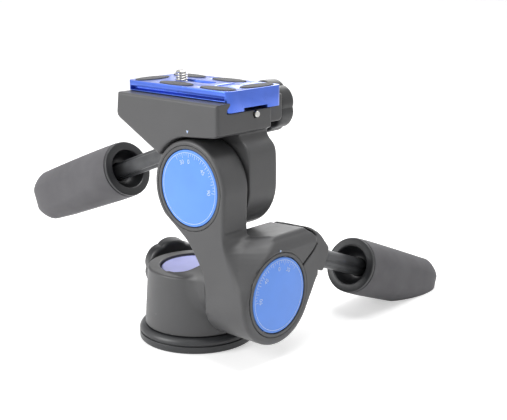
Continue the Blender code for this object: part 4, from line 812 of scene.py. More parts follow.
def cast_mesh(name, field, low, high, step=0.55):
    """Skin a field with small even faces and move every corner onto its surface."""
    counts = [int(math.ceil((b - a) / step)) + 1 for a, b in zip(low, high)]
    axes = [a + step * np.arange(count) for a, count in zip(low, counts)]
    grid = (axes[0][:, None, None], axes[1][None, :, None], axes[2][None, None, :])
    values = np.array(np.broadcast_to(field(grid), counts), np.float32)
    inside = values < 0
    held = np.zeros([count - 1 for count in counts], np.int8)
    corners = [(a, b, c) for a in (0, 1) for b in (0, 1) for c in (0, 1)]
    for corner in corners:
        held += inside[tuple(slice(shift, shift + count - 1)
                             for shift, count in zip(corner, counts))]
    cells = np.argwhere((held > 0) & (held < 8))
    index = -np.ones(held.shape, np.int64)
    index[tuple(cells.T)] = np.arange(len(cells))
    total, crossings = np.zeros((len(cells), 3)), np.zeros((len(cells), 1))
    for corner in corners:
        for axis in range(3):
            if corner[axis]:
                continue
            other = tuple(value + (place == axis) for place, value in enumerate(corner))
            here = values[tuple((cells + corner).T)]
            there = values[tuple((cells + other).T)]
            crossed = ((here < 0) != (there < 0))[:, None]
            share = (here / np.where(here == there, 1, here - there))[:, None]
            total += np.where(crossed, corner + share * (np.array(other) - corner), 0)
            crossings += crossed
    points = np.array(low) + step * (cells + total / crossings)
    points = pulled_to_surface(field, points, step)
    faces = []
    for axis in range(3):
        one, two = (axis + 1) % 3, (axis + 2) % 3
        start = tuple(slice(0, -1) if place == axis else slice(None) for place in range(3))
        end = tuple(slice(1, None) if place == axis else slice(None) for place in range(3))
        edges = np.argwhere(inside[start] != inside[end])
        outward = inside[tuple(edges.T)]
        quad = []
        for back_one, back_two in ((0, 0), (1, 0), (1, 1), (0, 1)):
            cell = edges.copy()
            cell[:, one] -= back_one
            cell[:, two] -= back_two
            quad.append(index[tuple(cell.T)])
        quad = np.stack(quad, axis=1)
        faces.append(np.where(outward[:, None], quad, quad[:, ::-1]))
    return mesh_object(name, points, np.concatenate(faces).tolist())


def pulled_to_surface(field, points, step):
    """Move points along the field's slope until they lie on its surface."""
    reach = 0.02
    for _ in range(3):
        here = field(tuple(points.T))
        slope = np.stack([(field(tuple((points + reach * axis).T))
                           - field(tuple((points - reach * axis).T))) / (2 * reach)
                          for axis in np.eye(3)], axis=1)
        length = np.maximum((slope ** 2).sum(axis=1), 0.25)
        move = slope * (here / length)[:, None]
        points = points - np.clip(move, -0.5 * step, 0.5 * step)
    return points


def band(points, width):
    """Return the outline of a band of even width along an open line."""
    line = [Vector(point) for point in points]
    left, right = [], []
    for index, point in enumerate(line):
        before = line[max(index - 1, 0)]
        after = line[min(index + 1, len(line) - 1)]
        along = (after - before).normalized()
        aside = Vector((-along.y, along.x)) * (width / 2)
        left.append(tuple(point + aside))
        right.append(tuple(point - aside))
    return left + right[::-1]


# Base and turret

def make_base():
    """The flange a tripod holds, with its journal and its threaded brass insert."""
    socket = INSERT_RADIUS + FIT
    socket_top = INSERT_RECESS + INSERT_HEIGHT + FIT
    bore = SPINDLE_RADIUS + FIT
    shoulder = BASE_HEIGHT - BASE_SHOULDER
    groove = BASE_FOOT_HEIGHT
    rows = [(socket, 0.3), (socket + 0.3, 0), (BASE_RADIUS - 0.8, 0)]
    rows += arc((BASE_RADIUS - 0.8, 0.8), 0.8, -90, 0, 6)
    rows += arc((BASE_RADIUS - 0.3, groove - 0.3), 0.3, 0, 90, 4)
    rows += [(BASE_RADIUS - 0.8, groove), (BASE_RADIUS - 0.8, groove + 0.7)]
    rows += arc((BASE_RADIUS - 0.3, groove + 1), 0.3, -90, 0, 3)
    rows += arc((BASE_RADIUS - BASE_SHOULDER, shoulder), BASE_SHOULDER, 0, 90, 14)
    rows += [(JOURNAL_RADIUS + 0.4, BASE_HEIGHT), (JOURNAL_RADIUS, BASE_HEIGHT + 0.4),
             (JOURNAL_RADIUS, JOURNAL_TOP - 0.4), (JOURNAL_RADIUS - 0.4, JOURNAL_TOP),
             (bore, JOURNAL_TOP), (bore, socket_top), (socket, socket_top)]
    settle(lathe("base_flange_turned", rows), "base_body", "base", "base_flange")
    low, high = INSERT_RECESS, INSERT_RECESS + INSERT_HEIGHT
    rows = [(SOCKET_RADIUS + 0.6, low), (INSERT_RADIUS - 0.3, low), (INSERT_RADIUS, low + 0.3),
            (INSERT_RADIUS, high), (SOCKET_RADIUS, high)]
    rows += [(radius + depth, height, depth) for radius, height, depth
             in thread_rows(SOCKET_RADIUS, high - 0.1, low + 0.6, SOCKET_PITCH, 0.55)]
    settle(lathe("tripod_socket", rows, steps=72, pitch=SOCKET_PITCH), "base_body", "brass",
           "tripod_insert")


def turret_field(point):
    """Tapered drum with a filleted boss for the tilt shaft and a lug for the pan brake."""
    x, y, z = point
    foot = BASE_HEIGHT + FIT
    slope = (TURRET_FOOT_RADIUS - TURRET_TOP_RADIUS) / (TURRET_TOP - foot)
    wall = (np.hypot(x, y) - (TURRET_FOOT_RADIUS - (z - foot) * slope)) / math.hypot(1, slope)
    drum = common(wall, foot - z, 0.5)
    boss = cylinder(point, TILT_FRAME, BOSS_RADIUS, BOSS_START, SPLIT_X - FIT, 1.2)
    boss = common(boss, foot + 2 - z)
    slope_top = (z - TURRET_TOP - BOSS_TOP_RISE
                 - BOSS_TOP_SLOPE * (y + BOSS_RADIUS - 1)) / math.hypot(1, BOSS_TOP_SLOPE)
    grown = x - BOSS_START
    rim = (z - TURRET_TOP - RIM_RAMP * grown ** 2) / np.hypot(1, 2 * RIM_RAMP * grown)
    boss = common(common(boss, slope_top, 1.0), rim, 0.6)
    deep = RELIEF_DEPTH * np.clip((TILT_HEIGHT + RELIEF_TOP - z) / RELIEF_RUN, 0, 1)
    radius = np.hypot(y, z - TILT_HEIGHT)
    boss = without(boss, common(SPLIT_X - RELIEF_WIDTH - x, BOSS_RADIUS - deep - radius), 0.6)
    shape = union(common(drum, z - TURRET_TOP, 1.0), boss, 2.5)
    shape = common(shape, foot - z, 0.5)
    lug = cylinder(point, PAN_KNOB_FRAME, KNOB_BOSS_RADIUS, 20, KNOB_BOSS_REACH, 1.2)
    shape = union(shape, lug, 1.5)
    cavity = JOURNAL_RADIUS + FIT
    shape = without(shape, cylinder(point, UPRIGHT, cavity, foot - OVERRUN, WEB_LOW), 0.4)
    shape = without(shape, cylinder(point, UPRIGHT, DIAL_RECESS_RADIUS, WEB_TOP, 60), 0.5)
    for place, radius, low, high in (
            (UPRIGHT, SPINDLE_RADIUS + FIT, WEB_LOW - OVERRUN, WEB_TOP + OVERRUN),
            (TILT_FRAME, SPIGOT_RADIUS + FIT, SPLIT_X - FIT - SPIGOT_DEPTH, SPLIT_X + OVERRUN),
            (TILT_FRAME, BOLT_RADIUS + FIT, BOLT_BORE_START, SPLIT_X),
            (PAN_KNOB_FRAME, BRAKE_RADIUS + FIT, cavity - OVERRUN, BRAKE_SEAT_END),
            (PAN_KNOB_FRAME, KNOB_SCREW_RADIUS + FIT, cavity, KNOB_BOSS_REACH + OVERRUN)):
        shape = without(shape, cylinder(point, place, radius, low, high))
    return shape


def make_turret():
    """The turning turret, its index line and the pan dial in its top."""
    turret = cast_mesh("turret_cast", turret_field, (-31, -29, 6.5), (29, 29, 55), 0.4)
    settle(turret, "turret_body", "cast", "turret_housing")
    low, top = PAN_DIAL_LOW, PAN_DIAL_LOW + PAN_DIAL_HEIGHT
    rows = [(0, low), (PAN_DIAL_RADIUS, low), (PAN_DIAL_RADIUS, top - 0.6),
            (PAN_DIAL_RADIUS - 0.6, top), (PAN_DIAL_RADIUS - 1.1, top),
            (PAN_DIAL_RADIUS - 1.2, top - 0.1), (0, top - 0.1)]
    settle(lathe("pan_dial_disc", rows), "base_body", "frosted", "pan_dial")
    tick = prism("turret_index_line", [(-0.25, -1.6), (0.25, -1.6), (0.25, 1.6), (-0.25, 1.6)],
                 0.02, 0.09, Matrix.Rotation(math.radians(-112), 4, "Z")
                 @ Matrix.Translation((0, 22.2, TURRET_TOP)))
    settle(tick, "turret_body", "mark")


# Arm

def slit_line():
    """Return the saw cut of a split clamp, in the clamp's (u, v)."""
    bore, barrel = CLAMP_BORE_RADIUS, BARREL_RADIUS
    return [(bore * 0.8, bore * 0.48), (bore * 1.32, bore * 0.82), (bore * 1.62, bore * 1.03),
            (barrel * 1.2, barrel * 0.84), (barrel * 1.13, barrel * 1.0),
            (barrel * 0.98, barrel * 1.1), (barrel * 0.92, HOUSING_TOP + OVERRUN)]


def ear_end(reach):
    """Return the middle of an ear's end face and the two unit vectors there."""
    along = Vector((math.cos(ROD_SLOPE), -math.sin(ROD_SLOPE)))
    across = Vector((math.sin(ROD_SLOPE), math.cos(ROD_SLOPE)))
    foot = across * ROD_OFFSET
    return foot + along * ((reach - foot.x) / along.x), along, across


def arm_plate_outline():
    """Return the upper plate of the arm, seen from the front."""
    hub = arc((ROLL_X, ROLL_HEIGHT), HUB_RADIUS, 0, 222, 74)
    edge_x = ROLL_X + HUB_RADIUS
    left = [hub[-1], (0.62 * ROLL_X, TILT_HEIGHT + 1.11 * BARREL_RADIUS),
            (0.95 * ROLL_X, TILT_HEIGHT + 0.93 * BARREL_RADIUS),
            (1.3 * ROLL_X, TILT_HEIGHT + 0.6 * BARREL_RADIUS),
            (SPLIT_X, TILT_HEIGHT + 0.28 * BARREL_RADIUS),
            (SPLIT_X, TILT_HEIGHT - 0.43 * BARREL_RADIUS)]
    right = [(1.8 * SPLIT_X, TILT_HEIGHT - 0.43 * BARREL_RADIUS),
             (edge_x + 0.36 * HUB_RADIUS, TILT_HEIGHT + 0.3 * BARREL_RADIUS),
             (edge_x + 0.17 * HUB_RADIUS, TILT_HEIGHT + 0.6 * BARREL_RADIUS),
             (edge_x + 0.04 * HUB_RADIUS, TILT_HEIGHT + 0.9 * BARREL_RADIUS),
             (edge_x - 0.03 * HUB_RADIUS, TILT_HEIGHT + 1.2 * BARREL_RADIUS),
             (edge_x - 0.03 * HUB_RADIUS, TILT_HEIGHT + 1.53 * BARREL_RADIUS),
             (edge_x - 0.015 * HUB_RADIUS, TILT_HEIGHT + 1.85 * BARREL_RADIUS), hub[0]]
    return hub + eased(left)[1:] + eased(right)[:-1]


def housing_outline():
    """Return the arm's lower housing, seen along the tilt axis."""
    barrel = arc((0, 0), BARREL_RADIUS, 176, 332, 60)
    end, along, across = ear_end(EAR_REACH)
    low_corner, high_corner = end - across * EAR_HALF, end + across * EAR_HALF
    under = [barrel[-1], (1.08 * BARREL_RADIUS, -0.14 * BARREL_RADIUS),
             (1.2 * BARREL_RADIUS, 0.08 * BARREL_RADIUS),
             (1.36 * BARREL_RADIUS, 0.14 * BARREL_RADIUS),
             tuple(low_corner - along * EAR_HALF / 2)]
    top = [tuple(high_corner - along), (0.95 * EAR_REACH, 0.62 * HOUSING_TOP),
           (0.87 * EAR_REACH, 0.79 * HOUSING_TOP), (0.76 * EAR_REACH, 0.92 * HOUSING_TOP),
           (0.6 * EAR_REACH, HOUSING_TOP), (0.3 * EAR_REACH, HOUSING_TOP)]
    tip = eased([under[-1], tuple(low_corner - along * 1.5), tuple(end - along * 0.6), top[0]])
    return barrel + eased(under)[1:] + tip[1:-1] + eased(top) + [(ARM_FRONT + 1.5, HOUSING_TOP)]


def rod_way(point, place):
    """The counterbore and tapped hole that take a handle's rod."""
    return union(cylinder(point, place, ROD_RADIUS + FIT, STUD_SEAT, STUD_SEAT + EAR_REACH),
                 cylinder(point, place, STUD_RADIUS + FIT, STUD_START - FIT, STUD_SEAT + FIT))


def shoulder_sweep(point):
    """Return the distance past the swept shoulder between the plate's edge and the dial's rim.

    At each height a straight line runs from the edge of the front face to the
    side that holds the dial, and the shoulder bulges a little over it.
    """
    x, y, z = point
    height = np.clip(z, TILT_HEIGHT - 12, TILT_HEIGHT + HOUSING_TOP + 5)
    heights, edge_x, edge_y, rim_y = np.array(SHOULDER_ROWS).T
    near_x = np.interp(height, heights, edge_x)
    near_y = np.interp(height, heights, edge_y)
    run_x = BARREL_END_X - near_x
    run_y = np.interp(height, heights, rim_y) - near_y
    length = np.hypot(run_x, run_y)
    across = ((x - near_x) * run_y - (y - near_y) * run_x) / length
    along = np.clip(((x - near_x) * run_x + (y - near_y) * run_y) / length ** 2, 0, 1)
    bulge = SHOULDER_BULGE * 4 * along * (1 - along)
    return union(x - near_x, across - bulge, SHOULDER_ROUND)


def housing_crown(point):
    """The low crown that carries the housing's top up towards its outer end."""
    x, y, z = point
    back = CROWN_START * EAR_REACH
    low = TILT_HEIGHT + HOUSING_TOP - 6
    fall = y - back - (TILT_HEIGHT + HOUSING_TOP + 3 - z) * CROWN_FALL
    side = common(common(SPLIT_X - x, x - BARREL_END_X), common(low - z, ARM_FRONT + 2 - y))
    return common(side, fall / math.hypot(1, CROWN_FALL), CROWN_ROUND)


def arm_field(point):
    """Split housing on the tilt shaft and the plate that carries the roll shaft."""
    x, y, z = point
    outline = housing_outline()
    housing = slab(point, TILT_FRAME, outline, SPLIT_X, BARREL_END_X, 1.2, BARREL_EDGE)
    # Above the shaft its front starts behind the plate's and comes forward to the dial
    upper = np.clip((z - FRONT_BLEND_START) / FRONT_BLEND_RUN, 0, 1)
    front = ARM_FRONT + FACE_INSET * upper - FACE_SLOPE * (x - SPLIT_X) - y
    housing = common(housing, front / math.hypot(1, FACE_SLOPE), 2.5)
    # A crown lifts the top towards the dial, and its outer edge leans in
    rise = z - TILT_HEIGHT - HOUSING_TOP - TOP_SLOPE * (x - SPLIT_X)
    lean = ((x - BARREL_END_X) * LEAN_RUN[1] + (z - LEAN_LOW) * LEAN_RUN[0]) / math.hypot(*LEAN_RUN)
    crown = common(common(housing_crown(point), rise / math.hypot(1, TOP_SLOPE), 1.2), lean, 1.5)
    housing = common(union(housing, crown, 0.6), lean, 1.5)
    ear_side, start = 1.3 * EAR_HALF, 1.2 * BARREL_RADIUS
    for side, edge_x in ((1, BARREL_END_X), (-1, SPLIT_X)):
        rise = (TILT_ROD_X + side * ear_side - edge_x) * side
        run = EAR_REACH - start
        taper = ((x - edge_x) * side - rise * (y - start) / run) / math.hypot(1, rise / run)
        taper = np.maximum(taper, (x - TILT_ROD_X) * side - ear_side)
        housing = common(housing, np.where(y < start, (x - edge_x) * side, taper), 1.2)
    plate = slab(point, FRONT_FRAME, arm_plate_outline(), -ARM_BACK, -ARM_FRONT, 1.5, 1.5)
    shape = union(housing, plate, 1.6) * upper + union(housing, plate) * (1 - upper)
    shape = common(shape, np.where(z < LEAN_LOW + 10, shoulder_sweep(point), -9), 1.4)
    shape = without(shape, cylinder(point, TILT_FRAME, BOSS_RADIUS + 2 * FIT, -BARREL_RADIUS,
                                    SPLIT_X), 0.4)
    floor_x = BARREL_END_X - DIAL_INSET - DIAL_HEIGHT - 2 * FIT - RETAINER_THICKNESS
    shape = without(shape, cylinder(point, TILT_FRAME, CLAMP_BORE_RADIUS, SPLIT_X - OVERRUN,
                                    floor_x + OVERRUN))
    shape = without(shape, cylinder(point, TILT_FRAME, RECESS_RADIUS, floor_x,
                                    BARREL_END_X + OVERRUN), 0.4)
    saw = slab(point, TILT_FRAME, band(eased(slit_line(), 2), SLIT), SPLIT_X - OVERRUN,
               BARREL_END_X + OVERRUN)
    shape = without(shape, saw, 0.25)
    shape = without(shape, rod_way(point, TILT_ROD), 0.4)
    roll_floor = ARM_FRONT + DIAL_INSET + DIAL_HEIGHT + FIT
    shape = without(shape, cylinder(point, ROLL_FRAME, RECESS_RADIUS, ARM_FRONT - OVERRUN,
                                    roll_floor), 0.4)
    shape = without(shape, cylinder(point, ROLL_FRAME, BOLT_RADIUS + FIT, ARM_FRONT,
                                    ARM_BACK + OVERRUN))
    return without(shape, cylinder(point, ROLL_FRAME, SPIGOT_RADIUS + FIT,
                                   ARM_BACK - SPIGOT_DEPTH, ARM_BACK + OVERRUN))


def make_arm():
    """The arm casting and the index mark above its lower dial."""
    arm = cast_mesh("arm_cast", arm_field, (-8, -27, 7), (58, 50, 109))
    settle(arm, "arm_body", "cast", "arm_casting")
    dot = lathe("tilt_index_dot", [(0, 0), (0.55, 0), (0.55, 0.08), (0, 0.12)],
                TILT_FRAME @ Matrix.Translation((0.4, 22.1, BARREL_END_X + 0.01)), 20)
    settle(dot, "arm_body", "mark")


# Dials

def make_dial(name, place, low, direction, body, nodes, bezel_name, bezel_gap):
    """A lacquered dial with a rounded rim and a skirt, and the dark bezel round it."""
    top = low + direction * DIAL_HEIGHT
    inner = DIAL_RADIUS - DIAL_SKIRT
    edge = arc((DIAL_RADIUS - 0.4, 0), 0.4, 0, 90, 5)
    rows = [(0, top - direction * DIAL_FACE_THICKNESS),
            (inner, top - direction * DIAL_FACE_THICKNESS), (inner, low), (DIAL_RADIUS, low)]
    rows += [(radius, top - direction * (0.4 - rise)) for radius, rise in edge]
    rows += [(0, top)]
    settle(lathe(name + "_disc", rows, place), body, "dial", nodes[0])
    ring = DIAL_RADIUS + bezel_gap
    outer = RECESS_RADIUS - 0.12
    proud = top + direction * BEZEL_PROUD
    rows = [(ring, low), (outer, low), (outer, proud - direction * 0.3),
            (outer - 0.3, proud), (ring + 0.3, proud), (ring, proud - direction * 0.3)]
    settle(lathe(bezel_name, rows, place), body, "cast", nodes[1])


def flat_text(text, size, place):
    """Return a number as a thin flat mesh, its middle at the place, in millimetres."""
    curve = bpy.data.curves.new("number", "FONT")
    curve.body = text
    curve.size = size
    curve.extrude = 0.03
    curve.align_x = "CENTER"
    curve.align_y = "CENTER"
    curve.resolution_u = 4
    holder = bpy.data.objects.new("number", curve)
    bpy.context.scene.collection.objects.link(holder)
    mesh = bpy.data.meshes.new_from_object(holder.evaluated_get(
        bpy.context.evaluated_depsgraph_get()))
    bpy.data.objects.remove(holder, do_unlink=True)
    mesh.transform(Matrix.Scale(MM, 4) @ place)
    made = bpy.data.objects.new("number", mesh)
    bpy.context.scene.collection.objects.link(made)
    return made


def make_scale(name, face, body, marks, ticks):
    """Print a dial: an outer ring line, degree ticks and numbers.

    The face's frame has X to the right, Y up and Z out of the dial. Marks are
    (text, degrees clockwise from the top) and ticks are (first, last) degrees.
    """
    outer = SCALE_RADIUS + SCALE_LINE
    pieces = [lathe("ring", [(SCALE_RADIUS, SCALE_LOW), (outer, SCALE_LOW), (outer, SCALE_TOP),
                             (SCALE_RADIUS, SCALE_TOP)], face, 160)]
    for degrees in range(ticks[0], ticks[1] + 1, 5):
        length = TICK_LONG if degrees % 15 == 0 else TICK_SHORT
        turn = Matrix.Rotation(-math.radians(degrees), 4, "Z")
        pieces.append(prism("tick", [(-TICK_HALF, TICK_END - length),
                                     (TICK_HALF, TICK_END - length), (TICK_HALF, TICK_END),
                                     (-TICK_HALF, TICK_END)], SCALE_LOW, SCALE_TOP, face @ turn))
    for text, degrees in marks:
        turn = Matrix.Rotation(-math.radians(degrees), 4, "Z")
        spot = face @ turn @ Matrix.Translation((0, NUMBER_RADIUS, 0.03))
        pieces.append(flat_text(text, NUMBER_SIZE, spot))
    settle(joined(name, pieces), body, "ink")


def make_dials():
    """Both angle dials with their bezels and printed scales."""
    low = BARREL_END_X - DIAL_INSET - DIAL_HEIGHT
    make_dial("tilt_dial", TILT_FRAME, low, 1, "turret_body", ("tilt_dial", "tilt_bezel"),
              "tilt_bezel_ring", 0.5)
    face = TILT_FRAME @ Matrix.Translation((0, 0, low + DIAL_HEIGHT))
    make_scale("tilt_dial_scale", face, "turret_body",
               (("0", 0), ("30", 30), ("45", -45), ("90", -90)), (-90, 45))
    low = ARM_FRONT + DIAL_INSET + DIAL_HEIGHT
    make_dial("roll_dial", ROLL_FRAME, low, -1, "arm_body", ("roll_dial", "roll_bezel"),
              "roll_bezel_ring", 0.35)
    face = frame_matrix((ROLL_X, ARM_FRONT + DIAL_INSET, ROLL_HEIGHT), (1, 0, 0), (0, 0, 1))
    make_scale("roll_dial_scale", face, "arm_body",
               (("0", 0), ("30", -20), ("45", 45), ("90", 90)), (-30, 90))


# Platform

def block_outline():
    """Return the platform's front block, seen from the front."""
    left = BLOCK_LEFT
    arch = arc((ROLL_X, ROLL_HEIGHT), HUB_SIDE + 4 * FIT, 146, 90, 40)
    side = [(left + 0.4 * BLOCK_CORNER, JAW_TOP), (left, BLOCK_BOTTOM + 1.9 * BLOCK_CORNER)]
    corner = [side[-1], (left + 0.05 * BLOCK_CORNER, BLOCK_BOTTOM + 1.2 * BLOCK_CORNER),
              (left + 0.7 * BLOCK_CORNER, BLOCK_BOTTOM + 0.7 * BLOCK_CORNER)]
    return (side[:1] + eased(corner) + arch
            + [(BLOCK_RIGHT - BLOCK_CORNER, BLOCK_BOTTOM - 0.2 * BLOCK_CORNER),
               (BLOCK_RIGHT, BLOCK_BOTTOM + 0.3 * BLOCK_CORNER), (BLOCK_RIGHT, JAW_TOP)])


def hub_outline():
    """Return the platform's rear hub in the clamp's (u, v), with the handle's ear."""
    end, along, across = ear_end(ROLL_EAR_REACH)
    low_corner, high_corner = end - across * EAR_HALF, end + across * EAR_HALF
    circle = arc((0, 0), HUB_SIDE, -180, -12, 60)
    neck_u = -(BLOCK_RIGHT - ROLL_X) + 1.2 * BLOCK_CORNER
    rise = BLOCK_BOTTOM - ROLL_HEIGHT
    under = [circle[-1], (1.1 * HUB_SIDE, -0.02 * HUB_SIDE), (1.25 * HUB_SIDE, 0.1 * HUB_SIDE),
             tuple(low_corner)]
    top = [tuple(high_corner), tuple(high_corner - along * EAR_HALF * 1.6),
           (0.98 * HUB_SIDE, 0.8 * HUB_SIDE), (0.5 * HUB_SIDE, rise + 2)]
    neck = [(neck_u, rise + 2), (neck_u - 0.08 * HUB_SIDE, 0.98 * HUB_SIDE),
            (-0.93 * HUB_SIDE, 0.85 * HUB_SIDE), (-HUB_SIDE, 0.68 * HUB_SIDE), circle[0]]
    return circle + eased(under)[1:] + eased(top) + eased(neck)[:-1]


def platform_field(point):
    """Clamp block under the plate and the split hub that turns on the roll shaft."""
    block = slab(point, FRONT_FRAME, block_outline(), -HUB_BACK, -ARM_FRONT, 1.0, 1.6)
    arch = cylinder(point, ROLL_FRAME, HUB_SIDE + 2 * FIT, ARM_FRONT - OVERRUN, HUB_FRONT)
    hub = slab(point, ROLL_FRAME, hub_outline(), HUB_FRONT, HUB_BACK, 0.7, 1.5)
    shape = union(without(block, arch, 0.8), hub, 1.2)
    shape = without(shape, arch, 0.4)
    z = point[2]
    seat_front = PLATE_Y - PLATE_WIDTH / 2 - FIT
    flank_low = PLATE_BOTTOM + FLANK_START
    seat = [(seat_front, SEAT_HEIGHT), (seat_front, flank_low),
            (seat_front + FLANK_RUN, flank_low + FLANK_RUN),
            (seat_front + FLANK_RUN, JAW_TOP + OVERRUN), (HUB_BACK + OVERRUN, JAW_TOP + OVERRUN),
            (HUB_BACK + OVERRUN, SEAT_HEIGHT)]
    shape = common(shape, z - JAW_TOP, 0.5)
    shape = without(shape, slab(point, SIDE_FRAME, seat, BLOCK_LEFT - OVERRUN,
                                BLOCK_RIGHT + OVERRUN), 0.4)
    shape = without(shape, cylinder(point, ROLL_FRAME, CLAMP_BORE_RADIUS, HUB_FRONT - OVERRUN,
                                    SHAFT_END_Y + OVERRUN))
    shape = without(shape, cylinder(point, ROLL_FRAME, END_CAP_RADIUS + FIT, SHAFT_END_Y,
                                    HUB_BACK + OVERRUN), 0.4)
    saw = slab(point, ROLL_FRAME, band(slit_line()[:3], SLIT), HUB_FRONT - OVERRUN,
               HUB_BACK + OVERRUN)
    shape = without(shape, saw, 0.25)
    shape = without(shape, rod_way(point, ROLL_ROD), 0.4)
    ways = [(CLAMP_FRAME, CLAMP_SCREW_RADIUS + FIT, CLAMP_SCREW_START - FIT, HUB_BACK + OVERRUN),
            (CLAMP_FRAME, SPRING_POCKET_RADIUS, HUB_BACK - SPRING_POCKET_DEPTH,
             HUB_BACK + OVERRUN),
            (STOP_PIN_FRAME, STOP_PIN_RADIUS + FIT, STOP_PIN_START - FIT, BLOCK_RIGHT + OVERRUN)]
    ways += [(guide_frame(x), GUIDE_RADIUS + FIT, GUIDE_START - FIT, HUB_BACK + OVERRUN)
             for x in GUIDE_X]
    for place, radius, low, high in ways:
        shape = without(shape, cylinder(point, place, radius, low, high))
    return shape


def guide_frame(x):
    """Return the frame of a guide pin, with Z along world +Y."""
    return frame_matrix((x, 0, CLAMP_HEIGHT), (0, 0, 1), (1, 0, 0))


def make_platform():
    """The platform casting, its end cap, index mark and stop pin."""
    platform = cast_mesh("platform_cast", platform_field, (-35, -24.5, 58), (44, 17.5, 128))
    settle(platform, "platform_body", "cast", "platform_casting")
    top = HUB_BACK + 0.8
    rows = [(0, 15.6), (END_CAP_RADIUS - DIAL_SKIRT, 15.7), (END_CAP_RADIUS - DIAL_SKIRT, 14.5),
            (END_CAP_RADIUS, 14.5), (END_CAP_RADIUS, top - 0.4)]
    rows += arc((END_CAP_RADIUS - 0.4, top - 0.4), 0.4, 0, 90, 5)
    rows += [(END_CAP_RADIUS - 2.0, top), (END_CAP_RADIUS - 2.2, top - 0.25), (0, top - 0.25)]
    settle(lathe("roll_end_cap_disc", rows, ROLL_FRAME), "platform_body", "plastic",
           "roll_end_cap")
    mark = prism("roll_index_mark", [(-0.75, 1.3), (0, -0.1), (0.75, 1.3)], 0.01, 0.08,
                 frame_matrix((ROLL_X, ARM_FRONT, 110.8), (1, 0, 0), (0, 0, 1)))
    settle(mark, "platform_body", "mark")
    rows = [(0, STOP_PIN_START), (STOP_PIN_RADIUS, STOP_PIN_START),
            (STOP_PIN_RADIUS, STOP_PIN_END - 0.3), (STOP_PIN_RADIUS - 0.3, STOP_PIN_END),
            (0, STOP_PIN_END)]
    settle(lathe("plate_stop_peg", rows, STOP_PIN_FRAME, SMALL_ROUND_STEPS), "platform_body",
           "steel", "plate_stop_pin")


def jaw_field(point):
    """The moving jaw with its dovetail lip."""
    plate_back = PLATE_Y + PLATE_WIDTH / 2 + FIT
    flank_low = PLATE_BOTTOM + FLANK_START
    lip = plate_back - FLANK_RUN
    outline = [(JAW_FRONT, JAW_BOTTOM)]
    outline += arc((JAW_BACK - JAW_CORNER, JAW_BOTTOM + JAW_CORNER), JAW_CORNER, -90, 0, 8)
    outline += arc((JAW_BACK - 1.2, JAW_TOP - 1.2), 1.2, 0, 90, 6)
    outline += [(lip + 0.4, JAW_TOP), (lip, JAW_TOP - 0.4), (lip, flank_low + FLANK_RUN),
                (plate_back, flank_low), (plate_back, SEAT_HEIGHT), (JAW_FRONT, SEAT_HEIGHT)]
    shape = slab(point, SIDE_FRAME, outline, JAW_LEFT, JAW_RIGHT, 1.2, 1.2)
    shape = without(shape, cylinder(point, CLAMP_FRAME, CLAMP_SCREW_RADIUS + FIT,
                                    JAW_FRONT - OVERRUN, JAW_BACK + OVERRUN), 0.3)
    shape = without(shape, cylinder(point, CLAMP_FRAME, SPRING_POCKET_RADIUS,
                                    JAW_FRONT - OVERRUN, JAW_FRONT + SPRING_POCKET_DEPTH))
    for x in GUIDE_X:
        shape = without(shape, cylinder(point, guide_frame(x), GUIDE_RADIUS + FIT,
                                        JAW_FRONT - OVERRUN, GUIDE_END + FIT))
    return shape


def make_jaw():
    """The moving jaw, the knob that draws it in and their screw."""
    jaw = cast_mesh("rear_jaw_cast", jaw_field, (-29.5, 14.5, 111), (34.5, 30, 127.5), 0.4)
    settle(jaw, "jaw_body", "cast", "rear_jaw")
    end = CLAMP_KNOB_START + CLAMP_KNOB_THICKNESS
    bore_end = CLAMP_KNOB_START + CLAMP_KNOB_THICKNESS * KNOB_BORE_SHARE
    knob = make_knob("clamp_knob_lobed", CLAMP_KNOB_RADIUS, JAW_BACK + FIT, CLAMP_KNOB_START, end,
                     CLAMP_SCREW_RADIUS + FIT, bore_end, CLAMP_FRAME)
    settle(knob, "clamp_knob_body", "plastic", "clamp_knob")
    screw = make_screw("clamp_screw_thread", CLAMP_SCREW_RADIUS, CLAMP_SCREW_START,
                       bore_end - FIT, CLAMP_SCREW_PITCH, CLAMP_FRAME)
    settle(screw, "clamp_knob_body", "steel", "clamp_screw")


def make_screw(name, radius, low, high, pitch, place):
    """A threaded stud with chamfered ends."""
    rows = [(0, low), (radius - SCREW_CHAMFER, low)]
    rows += thread_rows(radius, low + SCREW_CHAMFER, high - SCREW_CHAMFER, pitch,
                        SCREW_THREAD_DEPTH)
    rows += [(radius - SCREW_CHAMFER, high), (0, high)]
    return lathe(name, rows, place, SMALL_ROUND_STEPS, pitch)


def make_knob(name, radius, hub_start, start, end, bore_radius, bore_end, place):
    """A moulded knob: six lobes with soft edges, a dished face and a hub."""
    steps, edge = 144, KNOB_EDGE
    turns = np.arange(steps) * math.tau / steps
    wave = np.abs(np.cos(KNOB_LOBES * turns / 2))
    reach = radius * (1 - KNOB_LOBE_DEPTH * (1 - wave) ** 1.5)
    rows = [(0, bore_end), (bore_radius, bore_end), (bore_radius, hub_start),
            (KNOB_HUB_RADIUS - 0.3, hub_start), (KNOB_HUB_RADIUS, hub_start + 0.3),
            (KNOB_HUB_RADIUS, start)]
    rows += [(reach - edge + edge * math.sin(turn), start + edge * (1 - math.cos(turn)))
             for turn in np.linspace(0, math.pi / 2, 7)]
    rows += [(reach, height)
             for height in np.linspace(start + edge, end - edge, 4)[1:-1]]
    rows += [(reach - edge + edge * math.cos(turn), end - edge * (1 - math.sin(turn)))
             for turn in np.linspace(0, math.pi / 2, 8)]
    face = radius - edge - 3.2
    rows += [(face + 1.0, end), (face + 0.3, end - 0.3), (face, end - 0.9),
             (face - 0.6, end - 1.2), (face * 0.5, end - 1.05), (0, end - 1.0)]
    return lathe(name, rows, place, steps)


